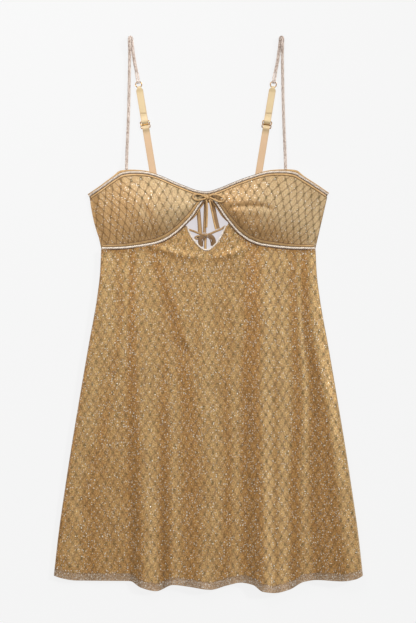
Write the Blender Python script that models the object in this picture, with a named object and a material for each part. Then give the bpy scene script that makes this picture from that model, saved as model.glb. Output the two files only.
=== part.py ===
"""Slip dress laid flat on its back, front up, straps laid out above the bodice.

Metres, +Z up. +X runs to the viewer's right, +Y from the hem to the strap folds, and the
origin is under the middle of the outline. Tables are in millimetres: x from the centre line,
up from the waist seam at the side.
"""
import math

import bmesh
import bpy
import numpy as np

MM = 0.001

# Driving sizes, in millimetres
STRAP_TOP = 349.3         # strap fold above the waist seam
HEM_LOW = 564.2           # lowest hem wave below the waist seam
WAIST_HALF = 175.5        # half width of the skirt at the waist seam
WALL = 1.2                # net, lining and back bodice
CUP_WALL = 1.8            # net over satin
SEAM_GAP = 0.3            # between pieces that are sewn together
LAYER_STEP = WALL + SEAM_GAP
CUP_RISE = 13.0           # height of the cup's dome
NECK_RISE = 3.0           # how far the neckline stands off the back
DART_DEPTH = 1.2
DART_SHARE = 0.44         # place of the dart, from the side to the centre
DART_TOP = 0.56           # and how far it climbs the cup
SIDE_TURN = 0.08          # share of the under-bust seam that comes down to the back
CUP_INNER = 0.985         # share of the under-bust seam that the cup is sewn to
LINING_SHORT = 11.0       # lining hem above the net hem
LINING_DROP = 3.0         # lining edge below the net's upper edge
LINING_SIDE = 0.93        # lining half width as a share of the net's
ROLL_START = 0.94         # where the front net starts to turn down to the side seam
PIPING_BUST_R = 1.8
PIPING_NECK_R = 1.7
PIPING_KEY_R = 1.3
TRIM = 1.0                # thickness of facings, bindings and ribbons
CORD_R = 2.7              # beaded strap cord
TIE_R = 1.3               # rouleau ties
RING_R = 4.9              # ring, to the middle of its wire
WIRE_R = 0.8
WRAP_REACH = 2.4          # how far a band goes into the ring
WRAP_WIDTH = 4.4
RIBBON_WIDTH = 11.4
LOOP_WIDTH = 6.4
FOLD_WALL = 0.9           # satin fold on the cup
FOLD_SHARE = 0.075        # its width as a share of the cup's height
STRAP_SHIFT = -3.9        # the straps lie a little off the centre line
KEY_SHIFT = -2.8          # and so does the keyhole

WAIST_Y = (HEM_LOW - STRAP_TOP) / 2

# Mid heights of the stacked layers
BACK_Z = WALL / 2
LINING_BACK_Z = BACK_Z + LAYER_STEP
LINING_FRONT_Z = LINING_BACK_Z + LAYER_STEP
FRONT_Z = LINING_FRONT_Z + LAYER_STEP

# Half width of the skirt: down from the waist, half width
SKIRT_SIDE = [(0, 175.5), (40, 177.4), (80, 182.2), (165, 197.2), (255, 212.6), (330, 225), (415, 238),
              (460, 244.4), (540, 253.6)]

# Hem of the front: x, down from the waist. It dips at each flute.
HEM = [(-253, 536), (-241, 540), (-216, 544), (-163, 544.5), (-128, 545), (-110, 555.5),
       (-85, 561.3), (-58, 551), (-32, 554), (4, 559), (30, 552), (53, 547.5), (73, 551),
       (89, 562), (108, 564.2), (132, 559), (156, 546), (178, 543), (217, 545), (240, 542),
       (253, 536)]
BACK_HEM = [(-253, 536), (-220, 542), (0, 545), (220, 542), (253, 536)]

# Folds of the skirt front, left to right: x of a crest or trough at each level down from the
# waist, then its lift above the flat panel at the same levels
FOLD_HEIGHT = 1.30
FOLD_LEVELS = (0.0, 110.0, 240.0, 390.0, 545.0)
FOLDS = [
    (-150, -148, -172, -197, -201, 1.0, 0.9, 0.8, 0.6, 0.6),
    (-137, -139, -159, -178, -180, 1.2, 1.3, 1.7, 1.5, 1.6),
    (-130, -133, -134, -132, -131, 0.3, 0.5, 0.5, 0.4, 0.4),
    (-119, -119, -114, -110, -107, 1.8, 2.6, 4.0, 5.7, 7.8),
    (-104, -76, -82, -80, -79, 0.5, 0.5, 1.3, 2.0, 3.2),
    (-103, -74, -63, -63, -61, 0.5, 0.5, 2.7, 5.6, 8.4),
    (-102, -69, -48, -44, -42, 0.5, 0.5, 1.8, 4.0, 6.6),
    (-84, -46, -20, -10, -16, 2.2, 3.3, 4.9, 6.6, 8.8),
    (-22, -14, -18, -8, -14, 1.9, 2.9, 4.87, 6.57, 8.7),
    (20, 12, 22, 27, 19, 0.6, 1.0, 1.6, 3.0, 4.4),
    (36, 36, 36, 38, 34, 0.9, 1.3, 2.1, 3.8, 5.6),
    (58, 57, 51, 53, 55, 0.4, 0.5, 1.0, 2.2, 3.4),
    (88, 88, 86, 88, 90, 3.4, 6.2, 7.8, 9.6, 11.8),
    (112, 114, 110, 110, 112, 1.8, 3.4, 4.8, 6.2, 8.0),
    (132, 134, 140, 134, 135, 0.6, 1.2, 2.0, 2.8, 3.8),
    (146, 148, 155, 149, 151, 1.5, 2.5, 3.9, 5.0, 6.4),
    (150, 153, 165, 166, 172, 1.1, 1.6, 2.3, 2.9, 3.6),
    (161, 166, 189, 184, 194, 2.96, 4.76, 7.95, 6.2, 7.6),
    (162, 167, 190, 189, 204, 2.98, 4.78, 7.98, 6.6, 8.4),
    (163, 168, 191, 210, 225, 3.0, 4.8, 8.0, 10.6, 11.6),
]
# Lift of the two side edges at each level, before they turn down to the seam
EDGE_LIFTS = ((3.4, 4.2, 4.2, 3.6, 3.2), (1.0, 1.6, 4.4, 6.6, 7.8))

# Neckline piping and under-bust piping, from the side seam to the centre: x, up
NECK = [(196, 87.7), (169, 105.5), (150, 118), (141, 122.8), (122, 125), (93.5, 122.8),
        (60, 111.4), (40, 103.8), (27, 98.4), (16, 94.6), (7, 92.4), (0.5, 91.8)]
BUST = [(174, 0), (141, 0.4), (114, 2.6), (96, 4.9), (84.5, 6.9), (69.7, 12.3), (58.2, 19.7),
        (48.4, 27.9), (38.5, 39.4), (27, 54), (17.2, 68.9), (9, 79), (4, 83)]
# How far each side's lines lie above the shared ones: distance from the centre, rise
NECK_RAISE = {
    -1: [(0, -0.6), (11, -1.8), (30, -3.2), (45, -3.4), (77, -1.6), (120, -0.4), (158, -0.5),
         (178, -1.8), (196, -2.0)],
    1: [(0, -0.6), (20, 1.2), (53, 1.7), (90, 0.6), (150, 0), (175, 0.7), (196, 0.5)],
}
BUST_RAISE = {
    -1: [(4, 0), (23.8, -1.2), (35, 0.4), (46.7, 2.6), (58, 3.2), (68, 3.1), (84.5, 2.4), (114, 1.2),
         (141, 0.4), (174, 0)],
    1: [(4, 0), (174, 0)],
}
CUP_SIDE_BULGE = {-1: 3.0, 1: 0.4}
# Lower edge of the keyhole: x from its own centre, up
KEYHOLE = [(-33.8, 41), (-32, 36.1), (-29.5, 27.9), (-24.3, 18), (-19.3, 11.5), (-14.4, 5.7),
           (-9.5, 0.8), (-4.6, -2.1), (0.3, -3), (5.3, -1.6), (9.4, 2), (14.3, 6.6),
           (19.2, 12.3), (24.1, 20.5), (27.4, 27.9), (31.5, 36.4), (33.8, 41)]

# Facing beyond the neckline piping: share of the way from side to centre, width
FACING_WIDTH = [(0.0, 1.2), (0.22, 1.6), (0.30, 3.6), (0.36, 2.6), (0.45, 1.6), (0.56, 0.8)]
KEY_FACING_WIDTH = [(0.0, 1.4), (0.5, 2.8), (1.0, 1.6)]

# Back bodice: distance from the centre line, top edge up, lower edge up
BACK_BAND = [(0, -10, -29), (35, -5, -27.5), (67, 10, -22), (131, 36, -8), (175, 60, -0.5)]
BACK_TOP_SIDE = (195, 84)
BACK_COLUMNS = np.linspace(-1, 1, 19)

# Straps, right side before the shift: x, up, z
STRAP_FRONT = [(130.3, 129.6, 7.7), (130.1, 140, 5.8), (129.7, 154, 3.6), (129.0, 172, 3.0),
               (127.8, 200, 3.0), (126.4, 245, 3.0), (125.2, 312, 4.2), (125.3, 332, 7.6),
               (125.5, 343.0, 8.8)]
STRAP_BACK = [(121.9, 343.0, 3.0), (120.8, 332, 3.0), (118.2, 312, 3.0), (113.9, 289, 3.0)]
STRAP_TURN = 3.2          # how far the fold reaches
FOLD_END = 0.06           # share of the fold's half width left open between its two cords
RING_AT = (110.4, 268.5)
RIBBON_AIM = (66.1, -2.0)
CORD_AIM = (123.5, 347.7)
STITCH_AT = 45.0          # end of the ribbon's underlay, from the ring
SLIDER_AT = 61.6
RAMP_AT = 250.0           # the ribbon has risen onto the back band
RIBBON_END_AT = 262.0
SLIDER_SIZE = (15.8, 12.5)
SLIDER_BAR = 1.6
SLIDER_Z = 2.3
SLIDER_DIP = 0.62         # height of the ribbon under the slider's bar

MATERIALS = {
    "net": ((0.40, 0.26, 0.13), 0.55, 0.25),
    "satin": ((0.50, 0.34, 0.16), 0.38, 0.1),
    "piping": ((0.62, 0.57, 0.52), 0.35, 0.5),
    "cord": ((0.46, 0.38, 0.33), 0.4, 0.4),
    "ribbon": ((0.74, 0.54, 0.30), 0.4, 0.0),
    "gold": ((0.83, 0.60, 0.22), 0.25, 1.0),
}


def clear_scene():
    for ob in list(bpy.data.objects):
        bpy.data.objects.remove(ob, do_unlink=True)


def material(slot):
    found = bpy.data.materials.get(slot)
    if found:
        return found
    colour, roughness, metallic = MATERIALS[slot]
    mat = bpy.data.materials.new(slot)
    mat.use_nodes = True
    shader = mat.node_tree.nodes["Principled BSDF"]
    shader.inputs["Base Color"].default_value = (*colour, 1.0)
    shader.inputs["Roughness"].default_value = roughness
    shader.inputs["Metallic"].default_value = metallic
    return mat


# Curves and interpolation

def monotone(xs, ys, at):
    """Smooth interpolation through a table that never overshoots its rows."""
    xs, ys, at = np.asarray(xs, float), np.asarray(ys, float), np.asarray(at, float)
    step = np.diff(xs)
    slope = np.diff(ys) / step
    tangent = np.zeros(len(xs))
    tangent[0], tangent[-1] = slope[0], slope[-1]
    for k in range(1, len(xs) - 1):
        if slope[k - 1] * slope[k] > 0:
            w1, w2 = 2 * step[k] + step[k - 1], step[k] + 2 * step[k - 1]
            tangent[k] = (w1 + w2) / (w1 / slope[k - 1] + w2 / slope[k])
    k = np.clip(np.searchsorted(xs, at) - 1, 0, len(xs) - 2)
    t = np.clip((at - xs[k]) / step[k], 0, 1)
    h00, h10 = 2 * t**3 - 3 * t**2 + 1, t**3 - 2 * t**2 + t
    return (h00 * ys[k] + h10 * step[k] * tangent[k]
            + (1 - h00) * ys[k + 1] + (t**3 - t**2) * step[k] * tangent[k + 1])


def lengths(points):
    points = np.asarray(points, float)
    return np.concatenate([[0], np.cumsum(np.linalg.norm(np.diff(points, axis=0), axis=1))])


def even(points, shares):
    """Points at the given shares of a polyline's length."""
    points = np.asarray(points, float)
    run = lengths(points)
    return np.stack([np.interp(np.asarray(shares) * run[-1], run, points[:, c])
                     for c in range(points.shape[1])], axis=1)


def smooth(points, count):
    """A smooth curve through hand-placed points, sampled evenly."""
    points = np.asarray(points, float)
    run = lengths(points)
    at = np.linspace(0, run[-1], 40 * len(points))
    ends = [2 * points[0] - points[1], 2 * points[-1] - points[-2]]
    full = np.vstack([ends[0], points, ends[1]])
    k = np.clip(np.searchsorted(run, at) - 1, 0, len(points) - 2)
    t = ((at - run[k]) / (run[k + 1] - run[k]))[:, None]
    a, b, c, d = full[k], full[k + 1], full[k + 2], full[k + 3]
    dense = 0.5 * (2 * b + (c - a) * t + (2 * a - 5 * b + 4 * c - d) * t**2
                   + (3 * b - a - 3 * c + d) * t**3)
    return even(dense, np.linspace(0, 1, count))


def offset(curve, distance):
    """A plane curve moved to the left of its direction."""
    tangent = np.gradient(curve, axis=0)
    tangent /= np.linalg.norm(tangent, axis=1)[:, None]
    return curve + distance * np.stack([-tangent[:, 1], tangent[:, 0]], axis=1)


def height_at(curve, x):
    """Height of a plane curve at x."""
    order = np.argsort(curve[:, 0])
    return np.interp(x, curve[order, 0], curve[order, 1])


def raised(line, rows):
    rows = np.array(rows, float)
    return line + np.column_stack([0 * line[:, 0], monotone(rows[:, 0], rows[:, 1], line[:, 0])])


NECK_LINES = {side: raised(smooth(NECK, 200), NECK_RAISE[side]) for side in (-1, 1)}
BUST_LINES = {side: raised(smooth(BUST, 200), BUST_RAISE[side]) for side in (-1, 1)}
KEY_LINE = smooth(KEYHOLE, 120) + np.array([KEY_SHIFT, 0])


# Objects

def finish(name, mesh, slot):
    ob = bpy.data.objects.new(name, mesh)
    bpy.context.scene.collection.objects.link(ob)
    ob.data.materials.append(material(slot))
    mesh.shade_smooth()
    mesh.set_sharp_from_angle(angle=math.radians(50))
    return ob


def mesh_from(name, verts, faces):
    """A closed mesh in metres whose faces point outwards."""
    verts = np.asarray(verts, float)
    placed = (verts + np.array([0, WAIST_Y, 0])) * MM
    bm = bmesh.new()
    corners = [bm.verts.new(v) for v in placed]
    for face in faces:
        bm.faces.new([corners[i] for i in face])
    bmesh.ops.recalc_face_normals(bm, faces=bm.faces)
    mesh = bpy.data.meshes.new(name)
    bm.to_mesh(mesh)
    bm.free()
    return mesh


def clearances(mid):
    """Upward vectors that move a grid a unit away from every facet, with its rims upright."""
    facet = np.cross(mid[:-1, 1:] - mid[1:, :-1], mid[1:, 1:] - mid[:-1, :-1])
    facet *= np.sign(facet[:, :, 2:3])
    facet /= np.linalg.norm(facet, axis=2)[:, :, None]
    ring = np.pad(facet, ((1, 1), (1, 1), (0, 0)), mode="edge")
    around = np.stack([ring[:-1, :-1], ring[:-1, 1:], ring[1:, :-1], ring[1:, 1:]])
    mean = around.sum(axis=0)
    mean[[0, -1], :, 1] = 0
    mean[:, [0, -1], 0] = 0
    mean /= np.linalg.norm(mean, axis=2)[:, :, None]
    return mean / (around * mean).sum(axis=3).min(axis=0)[:, :, None]


def sheet(name, mid, wall, slot):
    """A wall of even thickness about a grid of middle points."""
    rows, cols, _ = mid.shape
    half = clearances(mid) * wall / 2
    verts = np.concatenate([(mid + half).reshape(-1, 3), (mid - half).reshape(-1, 3)])
    under = rows * cols
    faces = []
    for i in range(rows - 1):
        for j in range(cols - 1):
            a, b = i * cols + j, i * cols + j + 1
            for corner in ([a, b, b + cols], [a, b + cols, a + cols]):
                faces.append(corner)
                faces.append([q + under for q in reversed(corner)])
    rim = ([j for j in range(cols)] + [i * cols + cols - 1 for i in range(1, rows)]
           + [(rows - 1) * cols + j for j in range(cols - 2, -1, -1)]
           + [i * cols for i in range(rows - 2, 0, -1)])
    for a, b in zip(rim, rim[1:] + rim[:1]):
        faces.append([b, a, a + under, b + under])
    return finish(name, mesh_from(name, verts, faces), slot)


def tube(name, points, radius, slot, sides_step=1):
    """A round cord along a polyline."""
    curve = bpy.data.curves.new(name, "CURVE")
    curve.dimensions = "3D"
    curve.bevel_depth = radius * MM
    curve.bevel_resolution = sides_step
    curve.use_fill_caps = True
    spline = curve.splines.new("POLY")
    spline.points.add(len(points) - 1)
    for point, (x, y, z) in zip(spline.points, points):
        point.co = (x * MM, (y + WAIST_Y) * MM, z * MM, 1.0)
    spline.use_smooth = True
    ob = bpy.data.objects.new(name, curve)
    bpy.context.scene.collection.objects.link(ob)
    curve.materials.append(material(slot))
    return ob


def band(name, path, width, thick, slot, across=None):
    """A flat band swept along a path; across is its fixed width direction in plan."""
    path = np.asarray(path, float)
    tangent = np.gradient(path, axis=0)
    tangent /= np.linalg.norm(tangent, axis=1)[:, None]
    width = np.broadcast_to(np.asarray(width, float), len(path))
    verts = []
    for point, direction, w in zip(path, tangent, width):
        if across is None:
            side = np.array([direction[1], -direction[0], 0.0])
            side /= np.linalg.norm(side)
        else:
            side = np.array([across[0], across[1], 0.0])
        up = np.cross(side, direction)
        up /= np.linalg.norm(up)
        for sx, sz in ((-1, -1), (1, -1), (1, 1), (-1, 1)):
            verts.append(point + side * sx * w / 2 + up * sz * thick / 2)
    faces = [[3, 2, 1, 0], [len(verts) - 4 + k for k in range(4)]]
    for i in range(len(path) - 1):
        for k in range(4):
            a, b = 4 * i + k, 4 * i + (k + 1) % 4
            faces.append([a, b, b + 4, a + 4])
    return finish(name, mesh_from(name, verts, faces), slot)


def pebble(name, centre, radii, slot):
    """A rounded knot."""
    bm = bmesh.new()
    bmesh.ops.create_uvsphere(bm, u_segments=10, v_segments=7, radius=1.0)
    for v in bm.verts:
        v.co = [(c + r * s + o) * MM for c, r, s, o in zip(centre, radii, v.co, (0, WAIST_Y, 0))]
    mesh = bpy.data.meshes.new(name)
    bm.to_mesh(mesh)
    bm.free()
    return finish(name, mesh, slot)


# Skirt

def half_width(down):
    rows = np.array(SKIRT_SIDE)
    return monotone(rows[:, 0], rows[:, 1], np.clip(down, 0, rows[-1, 0]))


def fold_lift(x, down):
    """Height of the front's flutes above the flat panel."""
    rows = np.array(FOLDS)
    count = len(FOLD_LEVELS)
    edge = float(half_width(down))
    places = np.array([-edge, *[monotone(FOLD_LEVELS, row[:count], down) for row in rows], edge])
    lifts = np.array([monotone(FOLD_LEVELS, row, down)
                      for row in (EDGE_LIFTS[0], *rows[:, count:], EDGE_LIFTS[1])])
    k = int(np.clip(np.searchsorted(places, x) - 1, 0, len(places) - 2))
    t = np.clip((x - places[k]) / (places[k + 1] - places[k]), 0, 1)
    lift = lifts[k] + (lifts[k + 1] - lifts[k]) * (1 - math.cos(math.pi * t)) / 2
    return FOLD_HEIGHT * lift


def front_top(x):
    """Upper edge of the skirt front: under the cups, then round the keyhole."""
    left, right = [height_at(offset(BUST_LINES[side], PIPING_BUST_R + SEAM_GAP), np.abs(x))
                   for side in (-1, 1)]
    under_bust = np.where(np.asarray(x) < 0, left, right)
    notch = offset(KEY_LINE, -(PIPING_KEY_R + SEAM_GAP))
    slope = (notch[-1, 1] - notch[-12, 1]) / (notch[-1, 0] - notch[-12, 0])
    beyond = np.abs(x - KEY_SHIFT) - (notch[-1, 0] - KEY_SHIFT)
    round_key = height_at(notch, x) + np.maximum(beyond, 0) * slope
    return np.minimum(under_bust, round_key)


def cusps():
    """Places where the under-bust seam meets the keyhole, left and right."""
    x = np.linspace(-60, 60, 481)
    top = front_top(x)
    return x[np.argmax(np.where(x < KEY_SHIFT, top, -999))], x[np.argmax(np.where(x > 0, top, -999))]


def skirt_columns(count):
    """Column places as shares of the half width, with the keyhole's corners among them."""
    marks = [place / WAIST_HALF for place in (*cusps(), KEY_SHIFT)]
    free = [s for s in np.linspace(-LINING_SIDE, LINING_SIDE, count)
            if min(abs(s - m) for m in marks) > 0.012]
    edge = [ROLL_START, 0.97, 1.0]
    return np.array([-s for s in reversed(edge)] + sorted(free + marks) + edge)


def skirt_grid(columns, rows, top_edge, hem, height):
    """Middle points of a skirt panel, from its hem up. The lining spans all but the end rows."""
    hem = np.array(hem)
    grid = np.zeros((rows + 2, len(columns), 3))
    for j, share in enumerate(columns):
        top = float(top_edge(share * WAIST_HALF))
        low = -float(monotone(hem[:, 0], hem[:, 1], share * hem[-1, 0]))
        levels = [low, *np.linspace(low + LINING_SHORT, top - LINING_DROP, rows), top]
        for i, up in enumerate(levels):
            x = share * float(half_width(-up))
            grid[i, j] = (x, up, height(share, x, max(-up, 0.0)))
    return grid


def front_height(share, x, down):
    turn = np.clip((abs(share) - ROLL_START) / (1 - ROLL_START), 0, 1)
    roll = turn * turn * (3 - 2 * turn)
    return FRONT_Z - 2 * LAYER_STEP * roll + fold_lift(x, down) * (1 - roll)


def lining_grid(net, columns):
    """Middle points of the front lining: the net's points moved down, without the edges."""
    kept = [j for j, share in enumerate(columns) if abs(share) < ROLL_START - 0.001]
    return (net - clearances(net) * LAYER_STEP)[1:-1, kept]


def back_waist(x):
    rows = np.array(BACK_BAND)
    return monotone(rows[:, 0], rows[:, 2], min(abs(x), rows[-1, 0]))


def back_height(share, x, down):
    return BACK_Z


def skirt():
    columns = skirt_columns(47)
    net = skirt_grid(columns, 10, front_top, HEM, front_height)
    sheet("skirt_front", net, WALL, "net")
    sheet("lining_front", lining_grid(net, columns), WALL, "satin")
    sheet("skirt_back", skirt_grid(BACK_COLUMNS, 5, lambda x: back_waist(x) - SEAM_GAP, BACK_HEM,
                                   back_height), WALL, "net")
    under = skirt_grid(LINING_SIDE * BACK_COLUMNS, 5, back_waist, BACK_HEM, back_height)[1:-1]
    sheet("lining_back", under + np.array([0, 0, LAYER_STEP]), WALL, "satin")


# Bodice

def neck_height(share):
    """Height of the neckline's middle, from the side to the centre."""
    return FRONT_Z + NECK_RISE * math.sin(math.pi * min(1.15 * share, 1.0)) ** 0.8


def seam_height(share):
    """Height of the under-bust seam; it comes down to the back at the side."""
    turn = np.clip(share / SIDE_TURN, 0, 1)
    low = BACK_Z + LAYER_STEP + 0.4
    return float(low + (FRONT_Z - low) * turn * turn * (3 - 2 * turn))


def cup_point(share, climb, side):
    """A point of the cup's middle: share from side to centre, climb from seam to neckline."""
    low = even(offset(BUST_LINES[side], -(PIPING_BUST_R + SEAM_GAP)), [CUP_INNER * share])[0]
    high = even(offset(NECK_LINES[side], PIPING_NECK_R + 2 * SEAM_GAP), [share])[0]
    x, up = low + (high - low) * climb
    x += CUP_SIDE_BULGE[side] * math.sin(math.pi * climb) * (1 - share) ** 6
    turned = np.clip(share / SIDE_TURN, 0, 1)
    level = seam_height(share) + (neck_height(share) - FRONT_Z) * climb * turned
    crown = math.sin(math.pi * climb ** 0.9) ** 1.5 if 0 < climb < 1 else 0.0
    swell = math.sin(math.pi * share ** 0.85) ** 1.6 if 0 < share < 1 else 0.0
    return np.array([x, up, level + CUP_RISE * crown * swell])


def cup(side, name):
    shares = np.array([0, 0.03, 0.08, 0.15, 0.22, 0.29, 0.36, 0.41, 0.44, 0.47, 0.53, 0.60, 0.67,
                       0.74, 0.81, 0.88, 0.94, 0.975, 1.0])
    climbs = np.array([0, 0.05, 0.12, 0.2, 0.3, 0.4, 0.5, 0.6, 0.7, 0.8, 0.88, 0.95, 1.0])
    grid = np.zeros((len(climbs), len(shares), 3))
    for j, share in enumerate(shares):
        for i, climb in enumerate(climbs):
            grid[i, j] = cup_point(share, climb, side)
            if share == DART_SHARE and 0 < climb < DART_TOP:
                grid[i, j, 2] -= DART_DEPTH * min(1.0, 4 * climb) * (1 - climb / DART_TOP)
    grid[:, :, 0] *= side
    return sheet(name, grid, CUP_WALL, "net")


def binding(side, name):
    """Satin fold that lies on the cup beside the under-bust piping."""
    shares = np.linspace(0.12, 0.97, 20)
    grid = np.zeros((3, len(shares), 3))
    for j, share in enumerate(shares):
        width = FOLD_SHARE + 0.35 * max(share - 0.8, 0)
        for i, climb in enumerate((0.012, 0.012 + width / 2, 0.012 + width)):
            lift = (CUP_WALL + FOLD_WALL) / 2 + SEAM_GAP
            grid[i, j] = cup_point(share, climb, side) + np.array([0, 0, lift])
    grid[:, :, 0] *= side
    return sheet(name, grid, FOLD_WALL, "satin")


def piping(side, tag):
    shares = np.linspace(0.0, 1.0, 24)
    clear = WALL + SEAM_GAP + PIPING_BUST_R
    line = even(BUST_LINES[side], shares)
    route = [(side * x, up, max(seam_height(s), clear)) for (x, up), s in zip(line, shares)]
    tube("piping_bust_" + tag, route, PIPING_BUST_R, "piping")
    line = even(NECK_LINES[side], shares)
    route = [(side * x, up, max(seam_height(s), clear) + neck_height(s) - FRONT_Z)
             for (x, up), s in zip(line, shares)]
    tube("piping_neck_" + tag, route, PIPING_NECK_R, "piping")


def edging(name, side, line, outward, inner, widths, reach, heights):
    """A flat strip beside a piping: widths by share of the way along it."""
    table = np.array(widths)
    shares = np.linspace(reach[0], reach[1], 14)
    near = even(offset(line, outward * inner), shares)
    width = monotone(table[:, 0], table[:, 1], (shares - reach[0]) / (reach[1] - reach[0])
                     if table[-1, 0] == 1.0 else shares)
    tangent = np.gradient(near, axis=0)
    tangent /= np.linalg.norm(tangent, axis=1)[:, None]
    normal = outward * np.stack([-tangent[:, 1], tangent[:, 0]], axis=1)
    far = near + normal * width[:, None]
    level = np.array([heights(s) for s in shares])[:, None]
    grid = np.stack([np.hstack([near, level]), np.hstack([far, level])])
    grid[:, :, 0] *= side
    return sheet(name, grid, TRIM, "satin")


def back_bodice():
    rows = np.array(BACK_BAND)
    grid = np.zeros((4, len(BACK_COLUMNS), 3))
    for j, share in enumerate(BACK_COLUMNS):
        top_x = abs(share) * BACK_TOP_SIDE[0]
        top_up = monotone([*rows[:, 0], BACK_TOP_SIDE[0]], [*rows[:, 1], BACK_TOP_SIDE[1]], top_x)
        low_x = abs(share) * WAIST_HALF
        low = np.array([low_x, back_waist(low_x)])
        high = np.array([top_x, top_up])
        for i, climb in enumerate((0, 1 / 3, 2 / 3, 1)):
            x, up = low + (high - low) * climb
            grid[i, j] = (math.copysign(x, share), up, BACK_Z)
    return sheet("back_bodice", grid, WALL, "net")


def bodice():
    for side, tag in ((-1, "left"), (1, "right")):
        cup(side, "cup_" + tag)
        piping(side, tag)
        binding(side, "binding_" + tag)
        edging("facing_" + tag, side, NECK_LINES[side], -1, PIPING_NECK_R + SEAM_GAP,
               FACING_WIDTH, (0.0, 0.56), lambda s: seam_height(s) + neck_height(s) - FRONT_Z)
        edging("facing_key_" + tag, side, BUST_LINES[side], 1, PIPING_BUST_R + SEAM_GAP,
               KEY_FACING_WIDTH, (0.80, 0.985), lambda s: FRONT_Z - 0.2)
    route = [(x, up, FRONT_Z) for x, up in even(KEY_LINE, np.linspace(0.035, 0.965, 22))]
    tube("piping_keyhole", route, PIPING_KEY_R, "piping")
    back_bodice()


# Straps

def strap_cords(side, tag):
    front = smooth(STRAP_FRONT, 21)
    front[:1, :2] = raised(front[:1, :2], NECK_RAISE[side])
    back = smooth(STRAP_BACK, 9)
    middle, half = (front[-1] + back[0]) / 2, (front[-1] - back[0]) / 2
    turns = [(math.cos(a), math.sin(a)) for a in np.radians([25, 50, 75])]
    turns.append((FOLD_END, turns[-1][1]))
    tops = [np.array([0, STRAP_TURN * y, 0]) for _, y in turns]
    down = [middle + half * x + top for (x, _), top in zip(turns, tops)]
    rise = [middle - half * x + top for (x, _), top in zip(turns, tops)][::-1]
    for name, route in (("strap_front_", [*front, *down]), ("strap_back_", [*rise, *back])):
        points = [(side * x + STRAP_SHIFT, y, z) for x, y, z in route]
        tube(name + tag, points, CORD_R, "cord")


def wrap(turn, lift):
    """Half turn through the ring and round its wire: distance along, height."""
    return [(-WRAP_REACH * math.sin(a), lift - turn * math.cos(a))
            for a in np.linspace(0, math.pi, 9)[1:-1]]


def wrap_widths(rows, width):
    """A band is gathered where it goes through the ring."""
    return [WRAP_WIDTH if distance < -0.5 else min(width, WRAP_WIDTH + 1.2 * (distance + 0.5) + 1)
            for distance, _ in rows]


def ribbon_profile():
    """Side view of the ribbon: round the ring, through the slider, on to the back."""
    floor, over = TRIM / 2, SLIDER_Z + SLIDER_BAR / 2 + SEAM_GAP + TRIM / 2
    turn = WIRE_R + SEAM_GAP + TRIM / 2
    wire_z = floor + turn
    second = floor + TRIM + SEAM_GAP
    rows = [(STITCH_AT, floor), (STITCH_AT / 2, floor), (0, floor), *wrap(turn, wire_z),
            (0, wire_z + turn), (3, 3.1), (7, second + 0.1), (STITCH_AT / 2, second),
            (STITCH_AT - 1, second), (STITCH_AT + 3, second), (SLIDER_AT - 9, 3.0),
            (SLIDER_AT - 6.9, over), (SLIDER_AT - 4.3, over), (SLIDER_AT - 1.08, SLIDER_DIP),
            (SLIDER_AT + 1.08, SLIDER_DIP), (SLIDER_AT + 4.3, over), (SLIDER_AT + 6.9, over),
            (SLIDER_AT + 11, 1.2), (SLIDER_AT + 15, floor), (110, floor), (150, floor),
            (200, floor), (RAMP_AT - 5, floor), (RAMP_AT, BACK_Z + LAYER_STEP),
            (RIBBON_END_AT, BACK_Z + LAYER_STEP)]
    return rows


def along(start, end, side):
    """A place function for a straight line in plan, and its width direction."""
    start, end = np.array(start, float), np.array(end, float)
    way = (end - start) / np.linalg.norm(end - start)

    def place(distance, z):
        x, y = start + way * distance
        return side * x + STRAP_SHIFT, y, z
    return place, (way[1], -way[0] * side)


def slider_mesh():
    """A frame with two windows and rounded side lobes, lying in its own plane."""
    half, length = SLIDER_SIZE[0] / 2, SLIDER_SIZE[1] / 2
    bar = SLIDER_BAR
    xs = [-half, -half + bar, half - bar, half]
    ys = [-length, -length + bar, -bar / 2, bar / 2, length - bar, length]
    mid_y = (-length + bar - bar / 2) / 2
    ys = [ys[0], ys[1], mid_y, ys[2], ys[3], -mid_y, ys[4], ys[5]]
    bulge = {2: 0.5, 5: 0.5, 3: -0.4, 4: -0.4, 0: -0.6, 7: -0.6}
    bm = bmesh.new()
    grid = [[bm.verts.new(((x + math.copysign(bulge.get(i, 0), x) * (abs(x) == half)) * MM,
                           y * MM, -bar / 2 * MM)) for x in xs] for i, y in enumerate(ys)]
    for i in range(len(ys) - 1):
        for j in range(3):
            if j == 1 and i in (1, 2, 4, 5):
                continue
            bm.faces.new([grid[i][j], grid[i][j + 1], grid[i + 1][j + 1], grid[i + 1][j]])
    flat = bmesh.ops.extrude_face_region(bm, geom=bm.faces[:])
    for item in flat["geom"]:
        if isinstance(item, bmesh.types.BMVert):
            item.co.z += bar * MM
    bmesh.ops.recalc_face_normals(bm, faces=bm.faces)
    mesh = bpy.data.meshes.new("slider")
    bm.to_mesh(mesh)
    bm.free()
    return mesh


def ring_mesh():
    bm = bmesh.new()
    rounds, sides = 16, 6
    ring = []
    for i in range(rounds):
        a = 2 * math.pi * i / rounds
        ring.append([])
        for k in range(sides):
            b = 2 * math.pi * k / sides
            reach = RING_R + WIRE_R * math.cos(b)
            ring[-1].append(bm.verts.new((reach * math.cos(a) * MM, reach * math.sin(a) * MM,
                                          WIRE_R * math.sin(b) * MM)))
    for i in range(rounds):
        for k in range(sides):
            nxt, up = (i + 1) % rounds, (k + 1) % sides
            bm.faces.new([ring[i][k], ring[nxt][k], ring[nxt][up], ring[i][up]])
    bmesh.ops.recalc_face_normals(bm, faces=bm.faces)
    mesh = bpy.data.meshes.new("ring")
    bm.to_mesh(mesh)
    bm.free()
    return mesh


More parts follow.
